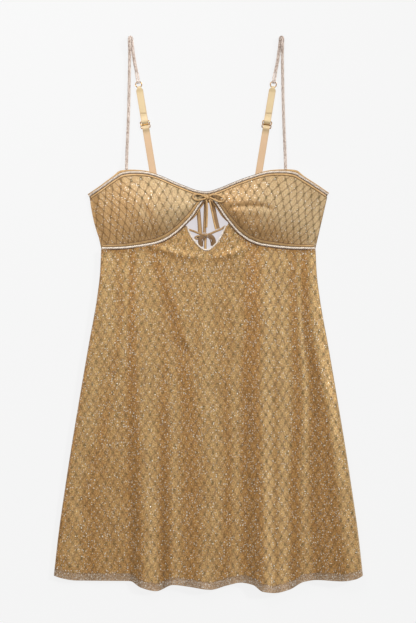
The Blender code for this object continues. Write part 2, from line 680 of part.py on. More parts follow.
def straps():
    ring_shape, slider_shape = ring_mesh(), slider_mesh()
    turn = WIRE_R + SEAM_GAP + TRIM / 2
    wire_z = TRIM / 2 + turn
    for side, tag in ((-1, "left"), (1, "right")):
        strap_cords(side, tag)
        ring = finish("ring_" + tag, ring_shape, "gold")
        ring.location = ((side * RING_AT[0] + STRAP_SHIFT) * MM, (RING_AT[1] + WAIST_Y) * MM,
                         wire_z * MM)
        way = np.array(RIBBON_AIM) - np.array(RING_AT)
        way = way / np.linalg.norm(way)
        place, across = along(np.array(RING_AT) + way * RING_R, RIBBON_AIM, side)
        rows = ribbon_profile()
        band("ribbon_" + tag, [place(*row) for row in rows], wrap_widths(rows, RIBBON_WIDTH),
             TRIM, "ribbon", across)
        slider = finish("slider_" + tag, slider_shape, "gold")
        x, y, z = place(SLIDER_AT, SLIDER_Z)
        slider.location = (x * MM, (y + WAIST_Y) * MM, z * MM)
        slider.rotation_euler = (0, 0, math.atan2(way[1], side * way[0]) + math.pi / 2)
        aim = np.array(CORD_AIM) - np.array(RING_AT)
        aim = aim / np.linalg.norm(aim)
        place, across = along(np.array(RING_AT) + aim * RING_R, CORD_AIM, side)
        rows = [(14, TRIM / 2), (7, TRIM / 2), (0, TRIM / 2), *wrap(turn, wire_z),
                (0, wire_z + turn), (3.5, 3.0), (8, 1.9), (14, 1.85)]
        band("strap_loop_" + tag, [place(*row) for row in rows], wrap_widths(rows, LOOP_WIDTH),
             TRIM, "cord", across)


# Ties

UPPER_KNOT = (-1.8, 83.6, 9.3)
UPPER_KNOT_R = (2.8, 3.5, 2.4)
LOWER_KNOT = (-5.2, 22.5, 3.3)
LOWER_KNOT_R = (4.6, 3.2, 2.3)
# Rouleau loops and tails: x, up, z
UPPER_LOOPS = {
    "left": [(-5.0, 85.4, 10.2), (-10, 88.2, 10.2), (-15.6, 89.5, 10.4), (-21.2, 88.4, 10.8),
             (-24.6, 84.8, 11.0), (-21.8, 80.4, 10.9), (-14, 78.8, 10.4), (-8.4, 80.2, 10.2),
             (-5.0, 81.8, 10.2)],
    "right": [(1.4, 85.4, 10.2), (7.4, 88.0, 10.2), (14.6, 88.4, 10.4), (22, 86.2, 10.9),
              (26.4, 81.6, 11.2), (25.0, 77.0, 11.4), (20.4, 75.8, 11.2), (11.4, 78.9, 10.4),
              (1.4, 81.8, 10.2)],
}
UPPER_TAILS = {
    "left": [(-3.3, 79.7, 8.9), (-2.0, 75, 8.0), (0.1, 68.5, 6.4), (0.7, 60.5, 4.4),
             (0.4, 49, 2.6), (-0.4, 41, 1.8), (-1.2, 34, 1.6)],
    "right": [(0.2, 79.5, 8.8), (3.4, 74.4, 8.0), (7.4, 67.5, 6.4), (10.0, 57, 4.2),
              (12.4, 46, 2.4), (13.4, 38, 1.7), (14.6, 32.4, 1.6)],
}
# Flat satin pieces of the lower tie: name, width, middle points
FLAT_TIES = [
    ("strand_left", 6.0, [(-18.5, 68, 2.6), (-16.2, 60, 2.6), (-14.4, 46, 2.5),
                          (-12.4, 27.2, 3.0)]),
    ("strand_centre", 4.6, [(-4.6, 73.6, 3.2), (-5.4, 66, 2.8), (-6.2, 46, 2.6),
                            (-6.0, 26.4, 3.0)]),
    ("strand_right", 4.6, [(9.4, 71, 3.3), (13.4, 60, 2.8), (18.4, 46, 2.5), (20.6, 34.0, 2.5)]),
    ("tie_drape_left", 4.0, [(-10.0, 17.6, 3.2), (-11.2, 13.6, 3.2), (-11.2, 8.6, 2.2)]),
    ("tie_drape_right", 4.4, [(0.6, 19.9, 3.2), (4.2, 15.4, 3.2), (5.6, 10.6, 2.2)]),
    ("tie_tail", 5.0, [(-4.9, 18.2, 2.4), (-4.9, 12, 1.9), (-4.9, -1.2, 1.4)]),
]
ARMS = {
    "left": [(-30.8, 31.2, 2.1), (-24, 27.6, 2.4), (-17.4, 25.2, 3.0), (-10.6, 23.4, 3.3)],
    "right": [(28.6, 34.4, 2.1), (20.4, 28.8, 2.4), (10.6, 25.4, 3.0), (0.2, 23.0, 3.3)],
}
LOWER_LOOP = [(-9.6, 20.4, 3.0), (-14.6, 20.4, 2.6), (-19.6, 19.0, 2.3), (-21.6, 17.0, 2.2),
              (-18.6, 15.2, 2.2), (-14.2, 15.8, 2.4)]


def ties():
    pebble("tie_knot_upper", UPPER_KNOT, UPPER_KNOT_R, "satin")
    pebble("tie_knot_lower", LOWER_KNOT, LOWER_KNOT_R, "satin")
    for tag in ("left", "right"):
        tube("tie_loop_" + tag, smooth(UPPER_LOOPS[tag], 22), TIE_R, "satin")
        tube("tie_end_" + tag, smooth(UPPER_TAILS[tag], 14), TIE_R, "satin", 2)
        tube("tie_arm_" + tag, smooth(ARMS[tag], 8), TIE_R, "satin")
    tube("tie_loop_lower", smooth(LOWER_LOOP, 12), TIE_R, "satin")
    for name, width, points in FLAT_TIES:
        band(name, smooth(points, 8), width, TRIM, "satin")


def main():
    clear_scene()
    skirt()
    bodice()
    straps()
    ties()


main()
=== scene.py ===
"""Slip dress of gold net over satin, laid flat on a pale sweep, built over its packed solids."""
import math
import random

import bpy
import numpy as np
from bpy.props import FloatProperty, FloatVectorProperty, PointerProperty
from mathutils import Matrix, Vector


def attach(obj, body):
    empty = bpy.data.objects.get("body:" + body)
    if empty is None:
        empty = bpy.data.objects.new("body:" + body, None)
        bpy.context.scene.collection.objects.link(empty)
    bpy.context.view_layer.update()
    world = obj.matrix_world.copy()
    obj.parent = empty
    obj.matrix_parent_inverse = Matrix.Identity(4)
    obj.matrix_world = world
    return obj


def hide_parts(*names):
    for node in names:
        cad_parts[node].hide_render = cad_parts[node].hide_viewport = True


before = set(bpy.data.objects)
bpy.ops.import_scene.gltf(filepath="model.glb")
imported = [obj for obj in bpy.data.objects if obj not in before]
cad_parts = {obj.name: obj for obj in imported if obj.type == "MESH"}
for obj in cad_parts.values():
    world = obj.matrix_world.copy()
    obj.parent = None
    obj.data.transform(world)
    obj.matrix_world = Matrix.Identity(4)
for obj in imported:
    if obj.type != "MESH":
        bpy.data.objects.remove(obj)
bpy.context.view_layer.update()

bl_info = {
    "name": "Slip Dress",
    "version": (1, 0, 0),
    "blender": (4, 5, 0),
    "location": "View3D > Sidebar > Dress",
    "description": "Builds a flat-laid slip dress in net, satin, cord and ribbon",
    "category": "Object",
}

MM = 0.001

# ---------------------------------------------------------------------------
# Sizes in millimetres: x from the centre line, up from the waist seam, z off the floor
# ---------------------------------------------------------------------------
STRAP_TOP = 349.3
HEM_LOW = 564.2
WAIST_Y = (HEM_LOW - STRAP_TOP) / 2
WAIST_HALF = 175.5
WALL = 1.2
CUP_WALL = 1.8
SEAM_GAP = 0.3
LAYER_STEP = WALL + SEAM_GAP
CUP_RISE = 13.0
NECK_RISE = 3.0
DART_SHARE = 0.44
DART_TOP = 0.56
DART_DEPTH = 1.3
DART_HALF = 0.012
SIDE_TURN = 0.08
CUP_INNER = 0.985
CUP_LATTICE = 0.93
LINING_SHORT = 11.0
LINING_DROP = 3.0
LINING_SIDE = 0.93
EDGE_ROLL = 0.994
# Strength of the painted light and shade on the net, by how it turns to the key light
PAINTED_LIGHT_GAIN = 2.4
# Reach below the bust seam of the painted shadow on the net
SEAM_SHADOW_REACH = 7.0
SEAM_TURN = 1.3
SEAM_TURN_REACH = 4.0
SEAM_TURN_FROM = 52
SEAM_SHADE_FROM = 50
RELIEF_LEAST = -0.15
# Slow uneven relief of the cloth: seed, reach, height
SKIRT_WAVERS = ((3, 46, 0.35), (8, 19, 0.16))
CUP_WAVER = (11, 30, 0.25)
PIPING_BUST_R = 1.8
PIPING_NECK_R = 1.7
PIPING_KEY_R = 1.3
BUST_ROPE_R = 2.1
NECK_ROPE_R = 1.8
KEY_ROPE_R = 1.5
KEY_TWIST = 0.8
ROPE_STRANDS = 3
SHADOW_LINE_GAP = 0.3
# Painted shadow line on each side of a piping: way out from it, radius
SHADOW_LINE_SIDES = ((1, 0.8), (-1, 0.35))
TRIM = 1.0
CORD_R = 2.7
CORD_BACK_R = 2.9
BEAD_STEP = 1.75
BEAD_RADII = (0.62, 0.5, 1.12)
CORE_SHARE = 0.72
# How much darker the neck piping is along its length, side to centre
NECK_DARKENING = (0.95, 0.85, 0.65, 0.45, 0.4, 0.55, 0.75, 0.85)
TIE_R = 1.3
ARM_R = 1.8
TAIL_R = 1.55
RING_R = 4.9
WIRE_R = 0.8
WRAP_TURN = WIRE_R + SEAM_GAP + TRIM / 2
WIRE_Z = TRIM / 2 + WRAP_TURN
WRAP_REACH = 2.4
WRAP_WIDTH = 4.4
RIBBON_WIDTH = 11.2
RIBBON_THICK = 0.75
NECK_FOLD = 3.2
FOLD_SHARE = 0.075
FOLD_WALL = 0.5
FACING_WALL = 0.7
BACK_NET_WALL = 0.9
TIE_THICK = 0.8
# One stitch: length, gap to the next, radius
SEAM_STITCH = (1.9, 0.9, 0.2)
RIBBON_STITCH = (0.9, 0.35, 0.24)
STRAP_SHIFT = -3.9
KEY_SHIFT = -2.8
STRAP_TURN = 3.0
BACK_CORD_FROM = 0.70
END_ASIDE = 1.7
END_CORD_R = 1.5
KNOT_WINDS = 3
BACK_Z = WALL / 2
LINING_BACK_Z = BACK_Z + LAYER_STEP
LINING_FRONT_Z = LINING_BACK_Z + LAYER_STEP
FRONT_Z = LINING_FRONT_Z + LAYER_STEP

SKIRT_LENGTH = 545.0
SKIRT_SIDE = [(0, 175.5), (40, 177.4), (80, 182.2), (165, 197.2), (255, 212.6), (330, 225),
              (415, 238), (460, 244.4), (540, 253.6)]
HEM = [(-253, 536), (-241, 540), (-216, 544), (-163, 544.5), (-128, 545), (-110, 555.5),
       (-85, 561.3), (-58, 551), (-32, 554), (4, 559), (30, 552), (53, 547.5), (73, 551),
       (89, 562), (108, 564.2), (132, 559), (156, 546), (178, 543), (217, 545), (240, 542),
       (253, 536)]
BACK_HEM = [(-253, 536), (-220, 542), (0, 545), (220, 542), (253, 536)]
FOLD_HEIGHT = 1.08
FOLD_LEVELS = (0.0, 110.0, 240.0, 390.0, SKIRT_LENGTH)
# The flutes stand a little higher near the waist than their table says
FOLD_GAIN = (1.14, 1.14, 1.08, 1.03, 1.0)
FOLDS = [
    # One valley or crest to a row: its x at each of the five levels, then its height there
    (-150, -148, -172, -197, -201, 1.0, 0.9, 0.8, 0.6, 0.6),
    (-137, -139, -159, -178, -180, 1.2, 1.3, 1.7, 1.5, 1.6),
    (-130, -133, -134, -132, -131, 0.3, 0.5, 0.5, 0.4, 0.4),
    (-119, -119, -114, -110, -107, 1.8, 2.6, 4.0, 5.7, 7.8),
    (-104, -76, -82, -80, -79, 0.5, 0.5, 1.3, 2.0, 3.2),
    (-103, -74, -63, -63, -61, 0.5, 0.5, 2.7, 5.6, 8.4),
    (-102, -69, -48, -44, -42, 0.5, 0.5, 1.8, 4.0, 6.6),
    (-84, -46, -20, -10, -16, 2.2, 3.3, 4.9, 6.6, 8.8),
    (-22, -14, -18, -8, -14, 1.9, 2.9, 4.87, 6.57, 8.7),
    (20, 12, 22, 27, 19, 0.6, 1.0, 1.6, 3.0, 4.4),
    (36, 36, 36, 38, 34, 0.9, 1.3, 2.1, 3.8, 5.6),
    (58, 57, 51, 53, 55, 0.4, 0.5, 1.0, 2.2, 3.4),
    (88, 88, 86, 88, 90, 3.4, 6.2, 7.8, 9.6, 11.8),
    (112, 114, 110, 110, 112, 1.8, 3.4, 4.8, 6.2, 8.0),
    (132, 134, 140, 134, 135, 0.6, 1.2, 2.0, 2.8, 3.8),
    (146, 148, 155, 149, 151, 1.5, 2.5, 3.9, 5.0, 6.4),
    (150, 153, 165, 166, 172, 1.1, 1.6, 2.3, 2.9, 3.6),
    (161, 166, 189, 184, 194, 2.96, 4.76, 7.95, 6.2, 7.6),
    (162, 167, 190, 189, 204, 2.98, 4.78, 7.98, 6.6, 8.4),
    (163, 168, 191, 210, 225, 3.0, 4.8, 8.0, 10.6, 11.6),
]
# Height of the two side edges at each level, before they turn down to the seam
EDGE_LIFTS = ((3.4, 4.2, 4.2, 3.6, 3.2), (1.0, 1.6, 4.4, 6.6, 7.8))
# Softer creases laid over the flutes: points (x, up), half width, height; a minus digs in
CREASES = [
    ([(-100, 4), (-72, -3), (-44, -11), (-10, -16)], 4.4, 2.9),
    ([(4, -16), (36, -10), (66, 3)], 4.4, 2.9),
    ([(-52, -84), (-48, -100), (-44, -116)], 8, 1.2),
    ([(-46, -132), (-36, -152), (-30, -168)], 8, 1.3),
    ([(-50, -152), (-36, -172), (-33, -190)], 8, -1.2),
    ([(-36, -36), (-8, -38)], 5, 0.7),
    ([(40, -70), (46, -84), (42, -98)], 8, -0.9),
    ([(-156, -210), (-166, -260), (-182, -312)], 8, -1.0),
    ([(-206, -340), (-196, -352), (-184, -360)], 8, -1.1),
    ([(-215, -418), (-204, -432), (-190, -440)], 11, -1.5),
    ([(-222, -478), (-208, -486), (-196, -500)], 11, -1.3),
    ([(-238, -500), (-226, -522)], 9, 1.0),
    ([(190, -440), (196, -480), (200, -520)], 10, 1.2),
    ([(24, -90), (34, -130), (34, -170)], 7, -0.8),
]
# The same for each cup, by its side
CUP_DENTS = {
    -1: [([(-112, 70), (-104, 62), (-97, 52)], 7, -1.3),
         ([(-120, 22), (-104, 20), (-84, 25)], 6, -0.8),
         ([(-80, 92), (-70, 84), (-58, 74)], 12, 0.9),
         ([(-140, 66), (-128, 48), (-122, 34)], 9, -0.7)],
    1: [([(30, 63), (40, 67), (60, 68.5), (82, 68), (95, 66), (108, 61)], 4.2, -2.4),
        ([(48, 79), (78, 80), (104, 76)], 6, 0.9), ([(64, 52), (84, 46)], 8, -1.0),
        ([(72, 22), (98, 20), (118, 24)], 6, -0.8)],
}
NECK = [(196, 87.7), (169, 105.5), (150, 118), (141, 122.8), (122, 125), (93.5, 122.8),
        (60, 111.4), (40, 103.8), (27, 98.4), (16, 94.6), (7, 92.4), (0, 91.8)]
BUST = [(174, 0), (141, 0.4), (114, 2.6), (96, 4.9), (84.5, 6.9), (69.7, 12.3), (58.2, 19.7),
        (48.4, 27.9), (38.5, 39.4), (27, 54), (17.2, 68.9), (9, 79), (4, 83)]
# How far each side's neckline and bust seam sit above the shared lines: distance from the
# centre, rise
NECK_RAISE = {
    -1: [(0, -0.6), (11, -1.8), (30, -3.2), (45, -3.4), (77, -1.6), (120, -0.4), (158, -0.5),
         (178, -1.8), (196, -2.0)],
    1: [(0, -0.6), (20, 1.2), (53, 1.7), (90, 0.6), (150, 0), (175, 0.7), (196, 0.5)],
}
BUST_RAISE = {
    -1: [(4, 0), (23.8, -1.2), (35, 0.4), (46.7, 2.6), (58, 3.2), (68, 3.1), (84.5, 2.4),
         (114, 1.2), (141, 0.4), (174, 0)],
    1: [(4, 0), (174, 0)],
}
CUP_SIDE_BULGE = {-1: 3.0, 1: 0.4}
KEYHOLE = [(-33.8, 41), (-32, 36.1), (-29.5, 27.9), (-24.3, 18), (-19.3, 11.5), (-14.4, 5.7),
           (-9.5, 0.8), (-4.6, -2.1), (0.3, -3), (5.3, -1.6), (9.4, 2), (14.3, 6.6),
           (19.2, 12.3), (24.1, 20.5), (27.4, 27.9), (31.5, 36.4), (33.8, 41)]
# Widths of the facings: share of the way along, width
FACING_WIDTH = [(0.0, 1.2), (0.22, 1.6), (0.30, 3.6), (0.36, 2.6), (0.45, 1.6), (0.56, 0.8)]
KEY_FACING_WIDTH = [(0.0, 1.2), (0.3, 2.9), (0.8, 2.9), (1.0, 1.8)]
# The low back: x, its top edge, the back skirt's waist
BACK_BAND = [(0, -10, -29), (35, -5, -27.5), (67, 10, -22), (131, 36, -8), (175, 60, -0.5)]
BACK_TOP_SIDE = (195, 84)

# Strap cords: x, up, z of the middle line; distances along the ribbon count from the ring
STRAP_FRONT = [(130.3, 129.6, 7.8), (130.1, 140, 5.8), (129.7, 154, 3.6), (129.0, 172, 2.9),
               (127.8, 200, 2.8), (126.4, 245, 2.8), (125.2, 312, 4.0), (125.3, 332, 7.4),
               (125.5, 343.0, 8.6)]
STRAP_BACK = [(121.9, 343.0, 3.0), (120.8, 332, 2.9), (118.2, 312, 2.9), (113.9, 289, 2.6)]
RING_AT = (110.4, 268.5)
RIBBON_AIM = (66.1, -2.0)
CORD_AIM = (123.5, 347.7)
STITCH_AT = 45.0
ROSE_FROM = (112.0, 140.0)
SLIDER_AT = 61.6
RAMP_AT = 250.0
RIBBON_END_AT = 262.0
SLIDER_SIZE = (15.6, 12.5)
SLIDER_BAR = 1.6
SLIDER_Z = 2.3
SLIDER_DIP = 0.62

UPPER_KNOT = (-1.8, 83.6, 9.3)
UPPER_KNOT_R = (2.8, 3.5, 2.4)
LOWER_KNOT = (-5.4, 21.8, 3.9)
LOWER_KNOT_R = (5.0, 3.0, 2.4)
KNOT_TAB = [
    # up, middle, half width, height, shade of the gathered cup tips under the upper knot
    (74.6, -1.2, 6.0, 4.6, 1.0), (76.0, -1.6, 11.5, 4.9, 1.0), (79.0, -1.8, 14.4, 5.0, 0.9),
    (84.0, -1.2, 14.6, 5.1, 0.6), (88.0, -1.0, 13.0, 5.1, 0.4), (90.8, -0.6, 9.0, 5.1, 0.3),
]
UPPER_LOOPS = {
    "left": [(-2.8, 82.8, 10.2), (-7.4, 85.3, 10.4), (-12.3, 87.6, 10.6), (-18, 88.7, 10.8),
             (-23.3, 87.2, 11.0), (-25.4, 83.6, 11.1), (-22.5, 80, 11.0), (-16.4, 78.7, 10.6),
             (-9.8, 80, 10.3), (-4.1, 81.5, 10.0)],
    "right": [(1.6, 85.3, 10.2), (4.9, 87.6, 10.4), (11.5, 88.2, 10.8), (18.9, 85.6, 11.2),
              (24.8, 81.7, 11.5), (25.1, 77.7, 11.6), (19.7, 76.1, 11.4), (12.3, 78.2, 11.0),
              (5.7, 81.7, 10.5), (2.1, 83.3, 10.0)],
}
UPPER_TAILS = {
    "left": [(-3.3, 79.7, 8.9), (-2.8, 75, 8.0), (-2.2, 68.5, 6.6), (-2.2, 60.5, 5.2),
             (-2.4, 49, 4.0), (-2.7, 41, 3.9), (-3.1, 34, 3.7)],
    "right": [(1.2, 79.5, 8.8), (2.6, 74.4, 8.0), (4.4, 67.0, 6.4), (6.3, 58, 4.8),
              (8.6, 47, 3.4), (10.4, 39, 2.8), (12.4, 31, 2.4)],
}
FLAT_TIES = [
    # name, width, how far it lies in shade, route
    ("strand_left", 7.4, 0.42, [(-18.5, 68, 2.6), (-16.4, 60, 2.6), (-14.8, 44, 2.5),
                                (-13.4, 24.6, 3.0)]),
    ("strand_centre", 5.6, 0.52, [(-4.4, 74.6, 3.2), (-5.0, 64, 2.4), (-5.8, 44, 2.2),
                                  (-6.2, 25.4, 3.0)]),
    ("strand_right", 7.4, 0.72, [(5.2, 78, 3.6), (8.6, 65, 2.6), (10.8, 54, 2.3),
                                 (13.2, 43, 2.2), (15.4, 32.0, 2.2)]),
    ("tie_drape_left", 7.4, 0.78, [(-9.2, 20.6, 4.4), (-13.0, 15.6, 4.4), (-13.6, 10.0, 3.6),
                                  (-11.4, 2.4, 2.6)]),
    ("tie_drape_right", 7.6, 0.80, [(0.0, 21.0, 4.4), (5.2, 18.8, 4.6), (8.8, 13.0, 3.8),
                                    (8.2, 4.0, 2.6)]),
    ("tie_tail", 4.6, 0.2, [(-4.9, 17.4, 2.4), (-4.9, 10, 1.9), (-5.0, -1.0, 1.4)]),
]
INNER_ARC = [(-9.6, 3.6, 2.4), (-9.2, 11.2, 3.6), (-6.2, 17.0, 4.6), (-1.4, 18.4, 4.9),
             (2.6, 15.2, 4.5), (4.4, 9.6, 3.6), (4.8, 4.4, 2.6)]
ARMS = {
    "left": [(-31.6, 30.6, 2.3), (-23.8, 27.9, 2.6), (-16.4, 24.8, 3.2), (-8.6, 22.0, 3.8)],
    "right": [(28.0, 36.2, 2.3), (20.5, 31.2, 2.6), (12.3, 27.9, 3.2), (4.1, 24.2, 3.8),
              (-1.6, 22.2, 3.9)],
}
LOWER_LOOP = [(-8.6, 19.6, 3.4), (-13.6, 20.4, 3.2), (-18.6, 19.8, 3.0), (-21.8, 17.6, 2.9),
              (-19.6, 15.4, 2.9), (-14.2, 15.8, 2.8)]

# Where the net shows more of its satin: x, half width, amount, share kept low on the skirt
CLEAR_LEAST = 0.22
CLEAR_BANDS = [(102, 30, 0.8, 0.65), (-118, 26, 0.25, 0.0)]
CLEAR_FALL = 260
# What the cups' cloth takes off red, green and blue
CUP_TINT = (0.095, 0.070, 0.055)
SHARP_ANGLE = 50
SIDES = ((-1, "left"), (1, "right"))

# Camera, floor and light: the picture's middle and scale, then metres and watts
PICTURE_PX = (416, 623)
MM_PER_PX = 1.64
PICTURE_MIDDLE = (-0.6, -103.6)
CAMERA_HEIGHT = 8.0
SENSOR = 36.0
FLOOR_SHADE = 0.06
FLOOR_HALF = 4
FLOOR_Z = -0.0004
STUDIO_STRENGTH = 0.27
KEYHOLE_MIDDLE = (-0.002, WAIST_Y * MM + 0.040, 0.0)
KEYHOLE_REACH = (1 / 0.046, 1 / 0.048, 0.0)
OVERHEAD_AT = (-0.36, 0.80, 0.86)
OVERHEAD_SIZE = 0.9
OVERHEAD_POWER = 9.4
KEY_WAY = (0.72, 0.38, 0.58)
KEY_WIDTH = 9
KEY_STRENGTH = 2.40


# ---------------------------------------------------------------------------
# Curves
# ---------------------------------------------------------------------------

def monotone(xs, ys, at):
    """Smooth interpolation through a table that never overshoots its rows."""
    xs, ys, at = np.asarray(xs, float), np.asarray(ys, float), np.asarray(at, float)
    step = np.diff(xs)
    slope = np.diff(ys) / step
    tangent = np.zeros(len(xs))
    tangent[0], tangent[-1] = slope[0], slope[-1]
    for k in range(1, len(xs) - 1):
        if slope[k - 1] * slope[k] > 0:
            w1, w2 = 2 * step[k] + step[k - 1], step[k] + 2 * step[k - 1]
            tangent[k] = (w1 + w2) / (w1 / slope[k - 1] + w2 / slope[k])
    k = np.clip(np.searchsorted(xs, at) - 1, 0, len(xs) - 2)
    t = np.clip((at - xs[k]) / step[k], 0, 1)
    h00, h10 = 2 * t**3 - 3 * t**2 + 1, t**3 - 2 * t**2 + t
    return (h00 * ys[k] + h10 * step[k] * tangent[k]
            + (1 - h00) * ys[k + 1] + (t**3 - t**2) * step[k] * tangent[k + 1])


def lengths(points):
    """Distance run at each point of a polyline."""
    points = np.asarray(points, float)
    return np.concatenate([[0], np.cumsum(np.linalg.norm(np.diff(points, axis=0), axis=1))])


def even(points, shares):
    """Points at the given shares of a polyline's length."""
    points = np.asarray(points, float)
    run = lengths(points)
    return np.stack([np.interp(np.asarray(shares) * run[-1], run, points[:, c])
                     for c in range(points.shape[1])], axis=1)


def smooth(points, count):
    """A smooth curve through hand-placed points, sampled evenly."""
    points = np.asarray(points, float)
    run = lengths(points)
    at = np.linspace(0, run[-1], 40 * len(points))
    ends = [2 * points[0] - points[1], 2 * points[-1] - points[-2]]
    full = np.vstack([ends[0], points, ends[1]])
    k = np.clip(np.searchsorted(run, at) - 1, 0, len(points) - 2)
    t = ((at - run[k]) / (run[k + 1] - run[k]))[:, None]
    a, b, c, d = full[k], full[k + 1], full[k + 2], full[k + 3]
    dense = 0.5 * (2 * b + (c - a) * t + (2 * a - 5 * b + 4 * c - d) * t**2
                   + (3 * b - a - 3 * c + d) * t**3)
    return even(dense, np.linspace(0, 1, count))


def unit(vectors):
    return vectors / np.maximum(np.linalg.norm(vectors, axis=-1, keepdims=True), 1e-9)


def offset(curve, distance):
    """A plane curve moved to the left of its direction."""
    tangent = unit(np.gradient(curve, axis=0))
    return curve + distance * np.stack([-tangent[:, 1], tangent[:, 0]], axis=1)


def height_at(curve, x):
    """The second measure of a plane curve over its first."""
    order = np.argsort(curve[:, 0])
    return np.interp(x, curve[order, 0], curve[order, 1])


def ease(t):
    """0 to 1 with a soft start and end."""
    t = np.clip(t, 0, 1)
    return t * t * (3 - 2 * t)


def raised(line, rows):
    """A line lifted in plan by a table of rises over x."""
    rows = np.array(rows, float)
    return line + np.column_stack([0 * line[:, 0], monotone(rows[:, 0], rows[:, 1], line[:, 0])])


NECK_LINES = {side: raised(smooth(NECK, 200), NECK_RAISE[side]) for side in (-1, 1)}
BUST_LINES = {side: raised(smooth(BUST, 200), BUST_RAISE[side]) for side in (-1, 1)}
KEY_LINE = smooth(KEYHOLE, 120) + np.array([KEY_SHIFT, 0])


# ---------------------------------------------------------------------------
# Skirt and cup surfaces, in millimetres
# ---------------------------------------------------------------------------

def half_width(down):
    """Half the skirt's width at a distance below the waist."""
    rows = np.array(SKIRT_SIDE)
    return monotone(rows[:, 0], rows[:, 1], np.clip(down, 0, rows[-1, 0]))


def fold_lift(x, down):
    """Height of the front's flutes above the flat panel, for arrays of places."""
    rows = np.array(FOLDS)
    edge = half_width(down)
    levels = len(FOLD_LEVELS)
    places = np.array([-edge, *[monotone(FOLD_LEVELS, row[:levels], down) for row in rows], edge])
    lifts = np.array([monotone(FOLD_LEVELS, row, down) for row in
                      (EDGE_LIFTS[0], *rows[:, levels:], EDGE_LIFTS[1])])
    k = np.clip((places <= x).sum(axis=0) - 1, 0, len(places) - 2)[None]
    left, right = np.take_along_axis(places, k, 0)[0], np.take_along_axis(places, k + 1, 0)[0]
    low, high = np.take_along_axis(lifts, k, 0)[0], np.take_along_axis(lifts, k + 1, 0)[0]
    t = np.clip((x - left) / (right - left), 0, 1)
    gain = FOLD_HEIGHT * monotone(FOLD_LEVELS, FOLD_GAIN, down)
    return gain * (low + (high - low) * (1 - np.cos(np.pi * t)) / 2)


def crease_lift(x, up, creases):
    """Soft troughs and ridges along hand-placed lines, fading out at both ends."""
    lift = np.zeros(x.shape)
    for points, width, height in creases:
        line = smooth(points, 30)
        gap = np.hypot(x[..., None] - line[:, 0], up[..., None] - line[:, 1])
        nearest = gap.argmin(axis=-1)
        fade = np.sin(np.pi * (nearest + 1.5) / 32) ** 0.7
        lift += height * fade * np.exp(-(gap.min(axis=-1) / width) ** 2)
    return lift


def waver(x, up, seed, scale, amount):
    """Slow uneven relief that stops cloth from lying perfectly smooth."""
    draw = random.Random(seed)
    total = np.zeros(x.shape)
    for _ in range(7):
        a, f, p = draw.uniform(0, 6.28), draw.uniform(0.6, 1.6) / scale, draw.uniform(0, 6.28)
        total += np.sin(6.28 * f * (0.9 * x * math.cos(a) + 0.45 * up * math.sin(a)) + p)
    return amount * total / 3.5


def front_top(x):
    """Upper edge of the skirt front: under the cups, then round the keyhole."""
    left, right = [height_at(offset(BUST_LINES[side], PIPING_BUST_R + SEAM_GAP), np.abs(x))
                   for side in (-1, 1)]
    under_bust = np.where(x < 0, left, right)
    notch = offset(KEY_LINE, -(PIPING_KEY_R + SEAM_GAP))
    slope = (notch[-1, 1] - notch[-12, 1]) / (notch[-1, 0] - notch[-12, 0])
    beyond = np.abs(x - KEY_SHIFT) - (notch[-1, 0] - KEY_SHIFT)
    return np.minimum(under_bust, height_at(notch, x) + np.maximum(beyond, 0) * slope)


def back_waist(x):
    """Upper edge of the skirt back."""
    rows = np.array(BACK_BAND)
    return monotone(rows[:, 0], rows[:, 2], np.minimum(np.abs(x), rows[-1, 0]))


def skirt_grid(shares, levels, top_edge, hem, low_trim=0.0, top_trim=0.0):
    """x and up of a skirt panel's points, with the distance of each from the hem."""
    hem = np.array(hem)
    top = top_edge(shares * WAIST_HALF) - top_trim
    low = -monotone(hem[:, 0], hem[:, 1], shares * hem[-1, 0]) + low_trim
    up = low + (top - low) * levels[:, None]
    return shares * half_width(-up), up, up - low + low_trim


def front_relief(shares, x, up):
    """Height of the net front: flutes, creases and the turn into the seams."""
    roll = ease((np.abs(shares) - EDGE_ROLL) / (1 - EDGE_ROLL))
    lift = fold_lift(x, np.maximum(-up, 0)) + crease_lift(x, up, CREASES)
    lift += sum(waver(x, up, *row) for row in SKIRT_WAVERS)
    lift += (SEAM_TURN * np.exp(-((front_top(x) - up) / SEAM_TURN_REACH) ** 2)
             * (np.abs(x) > SEAM_TURN_FROM))
    return FRONT_Z - 2 * LAYER_STEP * roll + np.maximum(lift, RELIEF_LEAST) * (1 - roll)


def neck_height(share):
    """Height of the neckline along its length, side to centre."""
    rise = np.sin(np.pi * np.minimum(1.15 * np.asarray(share, float), 1.0))
    return FRONT_Z + NECK_RISE * np.maximum(rise, 0) ** 0.8


def seam_height(share):
    """Height of the bust seam, which drops to the back at the side."""
    low = BACK_Z + LAYER_STEP + 0.4
    return low + (FRONT_Z - low) * ease(np.asarray(share, float) / SIDE_TURN)


